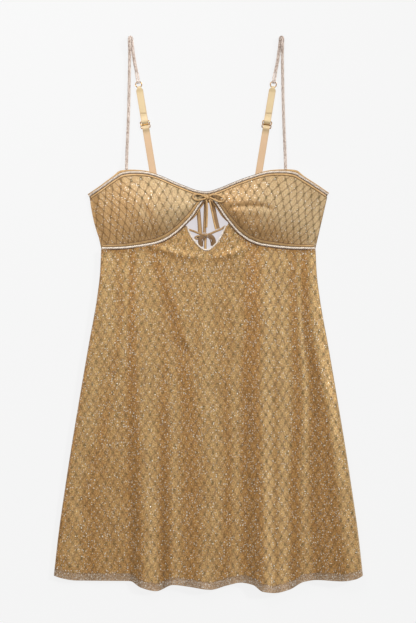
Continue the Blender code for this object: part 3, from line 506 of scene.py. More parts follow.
def cup_surface(shares, climbs, side):
    """Middle points of a cup: rows climb from seam to neckline, columns run side to centre."""
    low = even(offset(BUST_LINES[side], -(PIPING_BUST_R + SEAM_GAP)), CUP_INNER * shares)
    high = even(offset(NECK_LINES[side], PIPING_NECK_R + 2 * SEAM_GAP), shares)
    climbs = np.broadcast_to(np.asarray(climbs, float).reshape(len(climbs), -1),
                             (len(climbs), len(shares)))
    plan = low + (high - low) * climbs[..., None]
    plan[..., 0] += CUP_SIDE_BULGE[side] * np.sin(np.pi * climbs) * (1 - shares) ** 6
    edge = np.clip(shares / SIDE_TURN, 0, 1)
    level = seam_height(shares) + (neck_height(shares) - FRONT_Z) * climbs * edge
    crown = np.maximum(np.sin(np.pi * climbs ** 0.72), 0) ** 1.25
    swell = np.maximum(np.sin(np.pi * shares ** 1.05), 0) ** 1.3
    z = level + CUP_RISE * crown * swell
    tuck = np.maximum(1 - climbs / DART_TOP, 0) * np.minimum(1, 4 * climbs)
    z = z - DART_DEPTH * tuck * np.exp(-((shares - DART_SHARE) / DART_HALF) ** 2)
    x, up = side * plan[..., 0], plan[..., 1]
    hold = np.minimum(1, 12 * climbs) * np.minimum(1, 12 * (1 - climbs))
    z = z + hold * crease_lift(x, up, CUP_DENTS[side]) + hold * waver(x, up, *CUP_WAVER)
    return np.stack([x, up, z], axis=-1)


# ---------------------------------------------------------------------------
# Meshes
# ---------------------------------------------------------------------------

def cup_depth(shares, side):
    """Distance from bust seam to neckline at each share."""
    return np.linalg.norm(even(NECK_LINES[side], shares) - even(BUST_LINES[side], shares), axis=1)


def settle(piece, slot, *nodes):
    """Ties a piece to the dress, to its finish and to the solids it stands for."""
    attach(piece, "root")
    if nodes:
        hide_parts(*nodes)
    return piece


class Pattern:
    """Gathers points and faces in millimetres and makes them into one object."""

    def __init__(self):
        self.points, self.faces, self.values, self.count = [], [], {}, 0

    def add(self, points, faces, **values):
        points = np.asarray(points, float).reshape(-1, 3)
        self.faces.extend((np.asarray(f) + self.count).tolist() for f in faces)
        self.points.append(points)
        for name, value in values.items():
            value = np.asarray(value, float)
            if value.ndim == 0:
                value = np.full(len(points), float(value))
            self.values.setdefault(name, []).append(value)
        self.count += len(points)
        return self

    def make(self, name, material, slot, *nodes):
        points = np.vstack(self.points) + np.array([0, WAIST_Y, 0])
        mesh = bpy.data.meshes.new(name)
        mesh.from_pydata((points * MM).tolist(), [], self.faces)
        for key, parts in self.values.items():
            value = np.concatenate(parts)
            kind, field = ("FLOAT_VECTOR", "vector") if value.ndim == 2 else ("FLOAT", "value")
            layer = mesh.attributes.new(key, kind, "POINT")
            layer.data.foreach_set(field, value.astype(np.float32).ravel())
        mesh.shade_smooth()
        mesh.set_sharp_from_angle(angle=math.radians(SHARP_ANGLE))
        mesh.materials.append(material)
        piece = bpy.data.objects.new(name, mesh)
        bpy.context.scene.collection.objects.link(piece)
        return settle(piece, slot, *nodes)


def quads(rows, cols, wrap=False):
    """Faces of a grid of points; wrap joins the last column to the first."""
    r, c = np.meshgrid(np.arange(rows - 1), np.arange(cols if wrap else cols - 1), indexing="ij")
    a, b = (r * cols + c).ravel(), (r * cols + (c + 1) % cols).ravel()
    return np.stack([a, b, b + cols, a + cols], axis=1)


def shell(mid, wall, **values):
    """A thin closed wall about a grid of middle points."""
    rows, cols, _ = mid.shape
    normal = unit(np.cross(np.gradient(mid, axis=1), np.gradient(mid, axis=0)))
    normal *= np.sign(normal[..., 2:3])
    over, under = mid + normal * wall / 2, mid - normal * wall / 2
    faces = quads(rows, cols)
    n = rows * cols
    rim = ([*range(cols)] + [i * cols + cols - 1 for i in range(1, rows)]
           + [(rows - 1) * cols + j for j in range(cols - 2, -1, -1)]
           + [i * cols for i in range(rows - 2, 0, -1)])
    edge = np.array([[b, a, a + n, b + n] for a, b in zip(rim, rim[1:] + rim[:1])])
    if np.cross(mid[0, 1] - mid[0, 0], mid[1, 0] - mid[0, 0])[2] < 0:
        faces, edge = faces[:, ::-1], edge[:, ::-1]
    both = {k: np.concatenate([v.reshape(n, -1).squeeze()] * 2) for k, v in values.items()}
    return Pattern().add(np.concatenate([over.reshape(n, 3), under.reshape(n, 3)]),
                         [*faces, *(faces[:, ::-1] + n), *edge], **both)


def directions(route):
    """Tangent, side and up vectors along a route that mostly lies flat."""
    tangent = unit(np.gradient(route, axis=0))
    side = np.cross(tangent, [0, 0, 1.0])
    flat = np.linalg.norm(side, axis=1) < 0.35
    for k in np.flatnonzero(flat):
        side[k] = side[k - 1] if k else side[np.flatnonzero(~flat)[0]]
    side = unit(side - tangent * (side * tangent).sum(axis=1, keepdims=True))
    return tangent, side, np.cross(side, tangent)


def tube(route, radius, sides=10, pattern=None, flatten=1.0, around=None, **values):
    """A closed round or oval tube along a route; radius may vary along it."""
    route = np.asarray(route, float)
    _, side, up = around or directions(route)
    turn = np.linspace(0, 2 * np.pi, sides, endpoint=False)
    radius = np.broadcast_to(np.asarray(radius, float), len(route))[:, None, None]
    ring = (side[:, None] * np.cos(turn)[None, :, None]
            + up[:, None] * np.sin(turn)[None, :, None] * flatten)
    points = (route[:, None] + ring * radius).reshape(-1, 3)
    if "shade" not in values:
        values["shade"] = np.tile(ease((0.62 - np.sin(turn)) / 0.75), len(route))
    n = len(points)
    faces = [*quads(len(route), sides, wrap=True), np.arange(sides)[::-1],
             np.arange(n - sides, n)]
    return (pattern or Pattern()).add(points, faces, **values)


def rope(route, radius, pitch, dull=(0.0, 0.0)):
    """Strands twisted round one another along a route, dark in the grooves."""
    run = lengths(route)[-1]
    count = max(8, int(run / pitch * 12))
    line = even(route, np.linspace(0, 1, count))
    around = directions(line)
    _, side, up = around
    distance = lengths(line)
    thick, sides = radius * 0.55, 8
    turn = np.linspace(0, 2 * np.pi, sides, endpoint=False)
    pattern = Pattern()
    darker_share = np.interp(np.linspace(0, 1, count), np.linspace(0, 1, len(dull)), dull)
    for k in range(ROPE_STRANDS):
        angle = 2 * np.pi * (distance / pitch + k / ROPE_STRANDS)
        out = side * np.cos(angle)[:, None] + up * np.sin(angle)[:, None]
        facing = np.cos(turn[None] - angle[:, None])
        tube(line + (radius - thick) * out, thick, sides, pattern, around=around,
             tone=k / ROPE_STRANDS, shade=ease((0.72 - facing) / 0.7).ravel(),
             dull=np.repeat(darker_share, sides))
    return pattern


def pip(radii):
    """A small rounded bead as points and faces."""
    around, rows = 6, (-0.62, 0.0, 0.62)
    turn = np.linspace(0, 2 * np.pi, around, endpoint=False)
    points = [(0, 0, -1.0)]
    for z in rows:
        r = math.sqrt(1 - z * z)
        points += [(r * math.cos(a), r * math.sin(a), z) for a in turn]
    points.append((0, 0, 1.0))
    faces = [[0, 1 + (k + 1) % around, 1 + k] for k in range(around)]
    for row in range(len(rows) - 1):
        for k in range(around):
            a, b = 1 + row * around + k, 1 + row * around + (k + 1) % around
            faces.append([a, b, b + around, a + around])
    last = len(points) - 1
    faces += [[last - around + k, last - around + (k + 1) % around, last] for k in range(around)]
    return np.array(points) * np.array(radii), faces


def beaded(route, radius, pattern, seed, around=7):
    """A cord covered in small set-on beads."""
    draw = random.Random(seed)
    rows = max(4, int(lengths(route)[-1] / BEAD_STEP))
    line = even(route, np.linspace(0, 1, rows))
    tangent, side, up = directions(line)
    radius = np.interp(np.linspace(0, 1, rows), np.linspace(0, 1, np.size(radius)),
                       np.ravel(radius))
    core = even(route, np.linspace(0, 1, 2 * rows))
    tube(core, np.repeat(radius, 2) * CORE_SHARE, 8, pattern, tone=-1.0, shade=1.0)
    bead, faces = pip(BEAD_RADII)
    for i in range(rows):
        for k in range(around):
            a = 2 * np.pi * (k + 0.5 * (i % 2)) / around + 0.12 * draw.uniform(-1, 1)
            out = side[i] * math.cos(a) + up[i] * math.sin(a)
            flat = np.cross(tangent[i], out)
            lean = draw.uniform(-0.35, 0.35)
            along = tangent[i] * math.cos(lean) + flat * math.sin(lean)
            cross = np.cross(along, out)
            place = (line[i] + out * (radius[i] - BEAD_RADII[1])
                     + tangent[i] * draw.uniform(-0.3, 0.3))
            axes = np.stack([cross, out, along])
            pattern.add(place + bead @ axes, faces, tone=draw.random(),
                        shade=float(ease(0.55 - math.sin(a))))
    return pattern


def strip(path, widths, thick, across=None, crown=0.0, columns=7, dim=0.0):
    """A flat band along a path, thin at its two edges; across fixes its width direction."""
    path = np.asarray(path, float)
    tangent, side, _ = directions(path)
    if across is not None:
        side = np.tile(unit(np.array([across[0], across[1], 0.0])), (len(path), 1))
    up = unit(np.cross(side, tangent))
    up *= np.sign(np.where(np.abs(up[:, 2:3]) > 0.02, up[:, 2:3], 1.0)) if across is None else 1
    widths = np.broadcast_to(np.asarray(widths, float), len(path))
    place = np.linspace(-1, 1, columns)
    edge = thick / 2 * (0.55 + 0.45 * np.sqrt(1 - place**2 * 0.98))
    rise = crown * (1 - place**2)
    ring = [(p, r + e) for p, r, e in zip(place, rise, edge)]
    ring += [(p, r - e) for p, r, e in reversed(list(zip(place, rise, edge)))]
    a, b = np.array(ring).T
    points = (path[:, None] + side[:, None] * (a[None, :, None] * widths[:, None, None] / 2)
              + up[:, None] * b[None, :, None])
    n = len(ring)
    distance = np.repeat(lengths(path), n)
    grain = np.stack([(a[None] * widths[:, None] / 2).ravel(), distance, 0 * distance], axis=1)
    flat = points.reshape(-1, 3)
    shade = np.tile(np.where(np.arange(n) < columns, dim + (1 - dim) * np.abs(a) ** 2.4, 1.0),
                    len(path))
    faces = [*quads(len(path), n, wrap=True), np.arange(n)[::-1],
             np.arange(len(flat) - n, len(flat))]
    return Pattern().add(flat, faces, grain=grain, shade=shade)


def stitches(route, long, gap, radius, pattern, lift=0.0):
    """A row of short thread stitches along a route."""
    run = lengths(route)[-1]
    for start in np.arange(gap, run - long, long + gap):
        part = even(route, np.linspace(start, start + long, 4) / run)
        part[:, 2] += lift + np.array([0, radius * 0.8, radius * 0.8, 0])
        tube(part, radius * np.array([0.5, 1, 1, 0.5]), 5, pattern)
    return pattern


# ---------------------------------------------------------------------------
# Shader expressions
# ---------------------------------------------------------------------------

class Wire:
    """A shader value that can be written in an expression."""

    def __init__(self, look, socket):
        self.look, self.socket = look, socket

    def maths(self, operation, *others, first=None):
        values = [self, *others] if first is None else [first, self, *others]
        return self.look.node("ShaderNodeMath", {"operation": operation}, dict(enumerate(values)))

    def __add__(self, other): return self.maths("ADD", other)
    __radd__ = __add__
    def __sub__(self, other): return self.maths("SUBTRACT", other)
    def __rsub__(self, other): return self.maths("SUBTRACT", first=other)
    def __mul__(self, other): return self.maths("MULTIPLY", other)
    __rmul__ = __mul__
    def __gt__(self, other): return self.maths("GREATER_THAN", other)
    def __abs__(self): return self.maths("ABSOLUTE")
    def fract(self): return self.maths("FRACT")
    def above(self, other): return self.maths("MAXIMUM", other)
    def below(self, other): return self.maths("MINIMUM", other)

    def ramp(self, low, high):
        """0 below low and 1 above high, eased between."""
        return self.look.node("ShaderNodeMapRange", {"interpolation_type": "SMOOTHSTEP"},
                              {"Value": self, "From Min": low, "From Max": high})


class Look:
    """A material whose shader is built from expressions."""

    def __init__(self, name, **plain):
        self.material = bpy.data.materials.new(name)
        self.material.use_nodes = True
        self.tree = self.material.node_tree
        self.shader = self.tree.nodes["Principled BSDF"]
        for key, value in plain.items():
            self.shader.inputs[key.replace("_", " ")].default_value = value

    def node(self, kind, settings=None, inputs=None, out=0):
        made = self.tree.nodes.new(kind)
        for key, value in (settings or {}).items():
            setattr(made, key, value)
        for key, value in (inputs or {}).items():
            if isinstance(value, Wire):
                self.tree.links.new(value.socket, made.inputs[key])
            else:
                made.inputs[key].default_value = value
        return Wire(self, made.outputs[out])

    def set(self, **links):
        for key, value in links.items():
            self.tree.links.new(value.socket, self.shader.inputs[key.replace("_", " ")])

    def layer(self, name, vector=False):
        return self.node("ShaderNodeAttribute", {"attribute_name": name},
                         out="Vector" if vector else "Fac")

    def place(self):
        return self.node("ShaderNodeTexCoord", out="Object")

    def scaled(self, vector, scale):
        return self.node("ShaderNodeVectorMath", {"operation": "MULTIPLY"},
                         {0: vector, 1: scale})

    def parts(self, vector):
        split = self.node("ShaderNodeSeparateXYZ", inputs={0: vector})
        return [Wire(self, socket) for socket in split.socket.node.outputs]

    def join(self, x, y, z=0.0):
        return self.node("ShaderNodeCombineXYZ", inputs={0: x, 1: y, 2: z})

    def noise(self, vector, scale, detail=2.0, rough=0.5):
        return self.node("ShaderNodeTexNoise", inputs={"Vector": vector, "Scale": scale,
                                                       "Detail": detail, "Roughness": rough})

    def mix(self, a, b, factor):
        return self.node("ShaderNodeMix", {"data_type": "RGBA"}, {0: factor, 6: a, 7: b}, out=2)

    def specks(self, x, y, cell, size, share):
        """Scattered bright dots: each cell of the cloth may hold one."""
        spot = self.join(x * (1 / cell), y * (1 / cell))
        dots = self.node("ShaderNodeTexVoronoi", {"voronoi_dimensions": "2D"},
                         {"Vector": spot, "Scale": 1.0}, out="Distance")
        chance = self.node("ShaderNodeSeparateColor",
                           inputs={0: Wire(self, dots.socket.node.outputs["Color"])})
        pick, strength = chance, Wire(self, chance.socket.node.outputs[1])
        return (1 - dots.ramp(size * 0.55, size)) * (pick > 1 - share) * strength.ramp(-0.2, 0.8)

    def bump(self, height, strength, distance):
        self.set(Normal=self.node("ShaderNodeBump", inputs={
            "Height": height, "Strength": strength, "Distance": distance}))


def rgb(colour):
    return (*colour[:3], 1.0)


def net_look(name, colours, sizes, crisp, see_through):
    """Fine net with a woven diamond lattice and glitter, over gold satin."""
    look = Look(name, Specular_IOR_Level=0.25, Sheen_Weight=0.06, Sheen_Roughness=0.4)
    grain = look.layer("grain", vector=True)
    x, y, _ = look.parts(grain)
    lie = look.layer("lie")
    clear = look.layer("clear")
    drift = look.noise(grain, 0.022, 2.0)
    drift_y = look.noise(look.join(y, x), 0.026, 2.0)
    jolt = look.noise(look.join(x + 15.0, y), 0.16, 1.0)
    jump = (jolt - 0.5) * (1.0 - clear * 0.6)
    u = x + (drift - 0.5) * 9.0 + jump * 3.4
    v = y + (drift_y - 0.5) * 12.0 + jump * 4.0
    across, along = u * (MM / sizes.lattice_width), v * (MM / sizes.lattice_height)
    first = abs((across + along).fract() - 0.5) * 2.0
    second = abs((across - along).fract() - 0.5) * 2.0
    fine = look.noise(look.scaled(grain, (1.0, 0.50, 1.0)), 0.58, 1.2, 0.6)
    warm = look.noise(look.join(x - 50.0, y * 0.6), 0.42, 1.5, 0.6)
    moss = look.noise(look.join(y * 0.7, x + 40.0), 0.55, 2.0, 0.7)
    broken = look.noise(look.join(x + 70.0, y), 0.55, 3.0, 0.7)
    darker_share = look.noise(look.join(x, y + 90.0), 0.035, 2.0).ramp(0.38, 0.62)
    thin = 0.52 + 0.20 * crisp
    lines = (first.ramp(thin, 0.96).above(second.ramp(thin, 0.96))
             * broken.ramp(0.36 - 0.10 * crisp, 0.60 - 0.10 * crisp))
    lines = lines * (clear * 0.45 + 0.65)
    knots = first.ramp(0.40, 0.86) * second.ramp(0.40, 0.86) * broken.ramp(0.38, 0.56)
    knots = knots * (lie * 0.6 + 0.62).below(1.0) * (darker_share * 0.30 + 0.70)
    streak = look.noise(look.scaled(grain, (0.30, 0.016, 1.0)), 1.0, 3.0, 0.6)
    satin = look.mix(rgb(colours.satin_light), rgb(colours.satin_deep),
                     fine.ramp(0.40, 0.66) * (0.88 - 0.26 * crisp - clear * 0.42))
    satin = look.mix(satin, rgb(colours.satin_warm),
                     warm.ramp(0.50, 0.66) * (0.6 - 0.30 * crisp))
    satin = look.mix(satin, rgb(colours.satin_olive),
                     moss.ramp(0.48, 0.62) * (0.84 - 0.33 * crisp - clear * 0.38))
    satin = look.mix(satin, rgb(colours.net_pale), 0.16 * crisp)
    satin = look.mix(satin, rgb(colours.satin_brown), streak.ramp(0.46, 0.78) * 0.35)
    cloth = look.mix(satin, rgb(colours.net_line), lines * 0.9)
    cloth = look.mix(cloth, rgb(colours.net_thread), knots * 0.95)
    # Painted light falloff: the net is shaded a little darker towards the hem.
    painted_falloff = (y * (-1.0 / SKIRT_LENGTH)).ramp(0.15, 1.0)
    full = (*(1.0 - part * crisp for part in CUP_TINT), 1.0)
    hollow = rgb([part * whole for part, whole in zip(colours.hollow, full)])
    # Painted shade: the cloth is multiplied by a darker, redder colour where it turns away from
    # the key light.
    painted_shade = look.mix(hollow, full, (lie - painted_falloff * 0.20).ramp(0.0, 0.90))
    cloth = look.node("ShaderNodeMix", {"data_type": "RGBA", "blend_type": "MULTIPLY"},
                      {0: 1.0, 6: cloth, 7: painted_shade}, out=2)
    shift = (broken - 0.5) * 2.2
    crowd = look.noise(look.join(x + 20.0, y), 0.06, 2.0).ramp(0.40, 0.62)
    many = (crowd * 0.5 + (1 - lie) * 0.8 + 0.12) * (1.0 - 0.4 * crisp)
    glint = look.specks(u + shift, v - shift, 4.4, 0.23, many * 0.34).above(
        look.specks(u - shift + 31.0, v, 2.4, 0.33, many * 0.20) * 0.7)
    if see_through:
        backed = look.layer("backed")
        ragged = backed + (fine - 0.5) * 0.9 + (jolt - 0.5) * 1.6
        holes = look.noise(look.join(x, y * 1.2), 0.34, 2.0, 0.6)
        bare = look.mix(rgb(colours.net_bare), rgb(colours.satin_brown), moss.ramp(0.42, 0.66))
        bare = look.mix(bare, rgb(colours.net_pale), holes.ramp(0.52, 0.66) * 0.75)
        edge = (1 - abs(ragged - 0.45) * 2.2).above(0.0) * broken.ramp(0.34, 0.56)
        cloth = look.mix(bare, cloth, ragged.ramp(0.35, 0.75))
        cloth = look.mix(cloth, rgb(colours.hem_line), edge * 0.7)
        gap = look.noise(grain, 0.5, 2.0, 0.7)
        look.set(Alpha=(ragged.ramp(0.1, 0.5) + 0.62 + gap.ramp(0.35, 0.60) * 0.38).below(1.0))
    cloth = look.mix(cloth, rgb(colours.glitter), glint)
    mesh = look.noise(grain, 1.9, 1.0)
    look.set(Base_Color=cloth, Roughness=0.52 - glint * 0.3, Metallic=(1 - knots) * 0.35)
    look.bump(mesh * 0.3 + lines * 0.25 + knots * 0.30 + fine * (0.6 - 0.35 * crisp), 0.5, 0.0006)
    return look.material


def satin_look(name, light, deep, dark, gloss=0.36):
    """Soft satin with a slow change of tone, a fine slub and darker pressed edges."""
    look = Look(name, Specular_IOR_Level=0.5, Sheen_Weight=0.1, Anisotropic=0.3)
    place = look.place()
    slow = look.noise(place, 120.0, 3.0, 0.6)
    slub = look.noise(look.scaled(place, (900.0, 2600.0, 900.0)), 1.0, 2.0, 0.6)
    tone = look.mix(rgb(light), rgb(deep), (slow * 0.7 + slub * 0.5).ramp(0.38, 0.84))
    shade = look.layer("shade").ramp(0.05, 1.0)
    look.set(Base_Color=look.mix(tone, rgb(dark), shade * 0.85), Roughness=gloss + slub * 0.15)
    look.bump(slub * 0.4 + slow, 0.35, 0.0005)
    return look.material


def rope_look(name, light, dark, groove):
    """Metallic thread twisted into a cord: two pale strands and a duller one."""
    look = Look(name, Specular_IOR_Level=0.6)
    place = look.place()
    fleck = look.noise(place, 620.0, 2.0, 0.7)
    tone = look.layer("tone")
    strand = look.mix(rgb(light), rgb(dark),
                      tone.ramp(0.5, 0.6) * 0.35 + fleck.ramp(0.5, 0.75) * 0.3
                      + look.layer("dull") * 0.7)
    look.set(Base_Color=look.mix(strand, rgb(groove), look.layer("shade").ramp(0.1, 1.0) * 0.62),
             Roughness=fleck * 0.3 + 0.25, Metallic=fleck.ramp(0.4, 0.8) * 0.3)
    look.bump(look.noise(place, 1500.0, 2.0), 0.3, 0.0003)
    return look.material


def bead_look(name, light, dark, core):
    """Small pale beads set close on a rose-brown cord."""
    look = Look(name, Specular_IOR_Level=0.6)
    tone = look.layer("tone")
    fleck = look.noise(look.place(), 480.0, 2.0)
    beads = look.mix(rgb(light), rgb(dark), tone.ramp(0.55, 1.0))
    beads = look.mix(beads, rgb(core), look.layer("shade").ramp(0.2, 1.0) * 0.7)
    look.set(Base_Color=look.mix(rgb(core), beads, tone.ramp(-0.6, -0.2)),
             Roughness=fleck * 0.3 + 0.15, Metallic=fleck.ramp(0.3, 0.7) * 0.35)
    look.bump(fleck, 0.2, 0.0003)
    return look.material


def ribbon_look(name, light, rose, deep):
    """Elastic satin ribbon with fine ribs along it and a tight edge."""
    look = Look(name, Specular_IOR_Level=0.5, Sheen_Weight=0.1)
    x, y, _ = look.parts(look.layer("grain", vector=True))
    ribs = abs((x * 1.3).fract() - 0.5) * 2.0
    picks = abs((y * 1.7).fract() - 0.5) * 2.0
    edge = abs(x).ramp(4.2, 5.6)
    slow = look.noise(look.join(x * 0.08, y * 0.03), 1.0, 2.0)
    tone = ribs * 0.18 + picks * 0.08 + edge * 0.5 + slow * 0.35
    body = look.mix(rgb(light), rgb(rose), y.ramp(*ROSE_FROM))
    look.set(Base_Color=look.mix(body, rgb(deep), tone.ramp(0.1, 0.9)),
             Roughness=0.36 + ribs * 0.12)
    look.bump(ribs * 0.5 + picks * 0.25, 0.35, 0.0003)
    return look.material


def metal_look(name, colour, dark):
    """Polished gold-coloured metal with faint handling marks."""
    look = Look(name, Metallic=1.0)
    place = look.place()
    wear = look.noise(place, 420.0, 4.0, 0.6)
    look.set(Base_Color=look.mix(rgb(colour), rgb(dark), wear.ramp(0.5, 0.85)),
             Roughness=wear * 0.22 + 0.12)
    look.bump(wear, 0.12, 0.0002)
    return look.material


# ---------------------------------------------------------------------------
# Settings
# ---------------------------------------------------------------------------

class DressSizes(bpy.types.PropertyGroup):
    """Sizes of the cloth and its trims."""
    lattice_width: FloatProperty(name="Lattice width", description="Width of one diamond",
                                 default=0.01367, unit="LENGTH")
    lattice_height: FloatProperty(name="Lattice height", description="Height of one diamond",
                                  default=0.0248, unit="LENGTH")
    net_wall: FloatProperty(name="Net", description="Thickness of the net shell",
                            default=0.0006, unit="LENGTH")
    satin_wall: FloatProperty(name="Satin", description="Thickness of the lining shell",
                              default=0.0005, unit="LENGTH")
    cup_wall: FloatProperty(name="Cup", description="Thickness of net over satin at the cups",
                            default=0.0014, unit="LENGTH")
    twist: FloatProperty(name="Twist", description="Length of one turn of the piping",
                         default=0.0105, unit="LENGTH")


class DressColours(bpy.types.PropertyGroup):
    """Colours of the cloth, cords and metal."""


PALETTE = {
    "satin_light": ("Satin light", "Satin seen through the net", (0.65, 0.435, 0.190)),
    "satin_deep": ("Satin deep", "Deeper satin under the net", (0.33, 0.165, 0.055)),
    "satin_olive": ("Satin olive", "Greenish threads over the satin", (0.215, 0.165, 0.060)),
    "satin_warm": ("Satin warm", "Orange threads in the satin", (0.52, 0.285, 0.120)),
    "satin_brown": ("Satin brown", "Brown streaks in the satin", (0.27, 0.160, 0.085)),
    "net_line": ("Net line", "Thin threads of the lattice", (0.25, 0.155, 0.080)),
    "net_thread": ("Net thread", "Thick threads of the lattice", (0.120, 0.092, 0.032)),
    "net_bare": ("Bare net", "Net with no satin behind it", (0.50, 0.335, 0.195)),
    "hem_line": ("Hem line", "Line at the lining's hem", (0.150, 0.085, 0.045)),
    "net_pale": ("Pale net", "Net over nothing, catching the light", (0.62, 0.55, 0.48)),
    # Painted shade: the colour multiplied into the net where it turns away from the key light
    "hollow": ("Hollow", "Tint of the cloth in the hollows of its folds", (0.97, 0.80, 0.62)),
    "ribbon_rose": ("Ribbon rose", "Ribbon below the slider", (0.63, 0.43, 0.265)),
    "glitter": ("Glitter", "Specks on the net", (0.95, 0.86, 0.72)),
    "trim_light": ("Trim light", "Satin trims, light", (0.63, 0.395, 0.170)),
    "trim_deep": ("Trim deep", "Satin trims, deep", (0.42, 0.245, 0.095)),
    # Painted shade: the colour the trims take on their undersides and along their edges
    "trim_dark": ("Trim dark", "Satin trims, pressed edges", (0.100, 0.046, 0.018)),
    "silver": ("Silver", "Light thread of the piping", (0.92, 0.82, 0.70)),
    "silver_dark": ("Silver dark", "Dark thread of the piping", (0.52, 0.42, 0.33)),
    # Painted shade: the colour of the piping's strands where they turn into the grooves
    "groove": ("Groove", "Between the threads of the piping", (0.28, 0.185, 0.115)),
    "bead_light": ("Bead light", "Pale beads of the straps", (0.88, 0.77, 0.69)),
    "bead_dark": ("Bead dark", "Dark beads of the straps", (0.44, 0.33, 0.26)),
    "bead_core": ("Bead core", "Cord under the beads", (0.30, 0.20, 0.15)),
    "ribbon_light": ("Ribbon light", "Ribbon, light", (0.66, 0.52, 0.30)),
    "ribbon_deep": ("Ribbon deep", "Ribbon, deep", (0.52, 0.33, 0.17)),
    "gold": ("Gold", "Rings and sliders", (0.50, 0.27, 0.08)),
    "gold_dark": ("Gold dark", "Marks on the metal", (0.28, 0.13, 0.03)),
    "floor": ("Floor", "Surface under the dress", (0.853, 0.853, 0.853)),
    "floor_shaded": ("Floor shaded", "Surface seen through the keyhole", (0.66, 0.623, 0.640)),
}
for key, (label, words, default) in PALETTE.items():
    DressColours.__annotations__[key] = FloatVectorProperty(
        name=label, description=words, default=default, subtype="COLOR", size=3, min=0, max=1)

LOOKS = {}


def look_of(name, context):
    """The dress's materials, each made once."""
    if name not in LOOKS:
        c, s = context.scene.dress_colours, context.scene.dress_sizes
        makers = {
            "net_skirt": lambda: net_look("net_skirt", c, s, 0.0, True),
            "net_bodice": lambda: net_look("net_bodice", c, s, 1.0, False),
            "lining_satin": lambda: satin_look("lining_satin", c.satin_light, c.satin_deep,
                                               c.satin_brown),
            "trim_satin": lambda: satin_look("trim_satin", c.trim_light, c.trim_deep,
                                             c.trim_dark),
            "silver_rope": lambda: rope_look("silver_rope", c.silver, c.silver_dark, c.groove),
            "beads": lambda: bead_look("beads", c.bead_light, c.bead_dark, c.bead_core),
            "ribbon": lambda: ribbon_look("ribbon", c.ribbon_light, c.ribbon_rose,
                                          c.ribbon_deep),
            "gold_metal": lambda: metal_look("gold_metal", c.gold, c.gold_dark),
            "thread": lambda: satin_look("thread", c.trim_deep, c.satin_brown, c.trim_dark, 0.6),
            # Painted shadow: a material in the trims' shade colour only, for dark lines laid where
            # shade falls
            "painted_shadow": lambda: satin_look("painted_shadow", c.trim_dark, c.trim_dark,
                                              c.trim_dark, 0.8),
        }
        LOOKS[name] = makers[name]()
    return LOOKS[name]


# ---------------------------------------------------------------------------
# Pieces
# ---------------------------------------------------------------------------

def area_of(mid):
    """Area of a grid of middle points, in square metres."""
    along, over = np.diff(mid, axis=1)[:-1], np.diff(mid, axis=0)[:, :-1]
    return float(np.linalg.norm(np.cross(along, over), axis=2).sum()) * MM * MM


def skirt_mid(shares, levels, hem, top, height, low_trim=0.0, top_trim=0.0):
    """Middle points of a skirt panel, and the distance of each from the hem."""
    x, up, from_hem = skirt_grid(shares, levels, top, hem, low_trim, top_trim)
    z = height(np.broadcast_to(shares, x.shape), x, up)
    return np.stack([x, up, z], axis=-1), from_hem


def cloth_grain(mid):
    """Place of each point on the flat cloth: across from the middle, and up."""
    step = np.hypot(np.diff(mid[..., 0], axis=1), np.diff(mid[..., 2], axis=1))
    run = np.concatenate([np.zeros((len(mid), 1)), np.cumsum(step, axis=1)], axis=1)
    centre = np.array([np.interp(0.0, row[:, 0], r) for row, r in zip(mid, run)])
    across = run - centre[:, None]
    return np.stack([across, mid[..., 1], 0 * across], axis=-1)


def lie_of(mid):
    """How far each part of the cloth turns to the light: 0 in a hollow, 1 on a crest."""
    normal = unit(np.cross(np.gradient(mid, axis=1), np.gradient(mid, axis=0)))
    normal *= np.sign(normal[..., 2:3])
    lie = 0.5 + PAINTED_LIGHT_GAIN * (normal @ np.array(KEY_WAY) - KEY_WAY[2])
    lie = np.clip(lie, 0, 1)
    for axis in (0, 1):
        for _ in range(2):
            ends = np.pad(lie, [(1, 1) if k == axis else (0, 0) for k in (0, 1)], mode="edge")
            first = np.take(ends, range(0, ends.shape[axis] - 2), axis)
            last = np.take(ends, range(2, ends.shape[axis]), axis)
            lie = (first + 2 * lie + last) / 4
    return lie


def lifted(mid):
    """1 at the top of the skirt, 0 from its middle down."""
    return ease(1 + mid[..., 1] / CLEAR_FALL)


def backed_by_lining(from_hem):
    """1 where the lining lies behind the net, 0 along the bare hem."""
    return np.clip((from_hem - LINING_SHORT + 1.0) / 2.0, 0, 1)


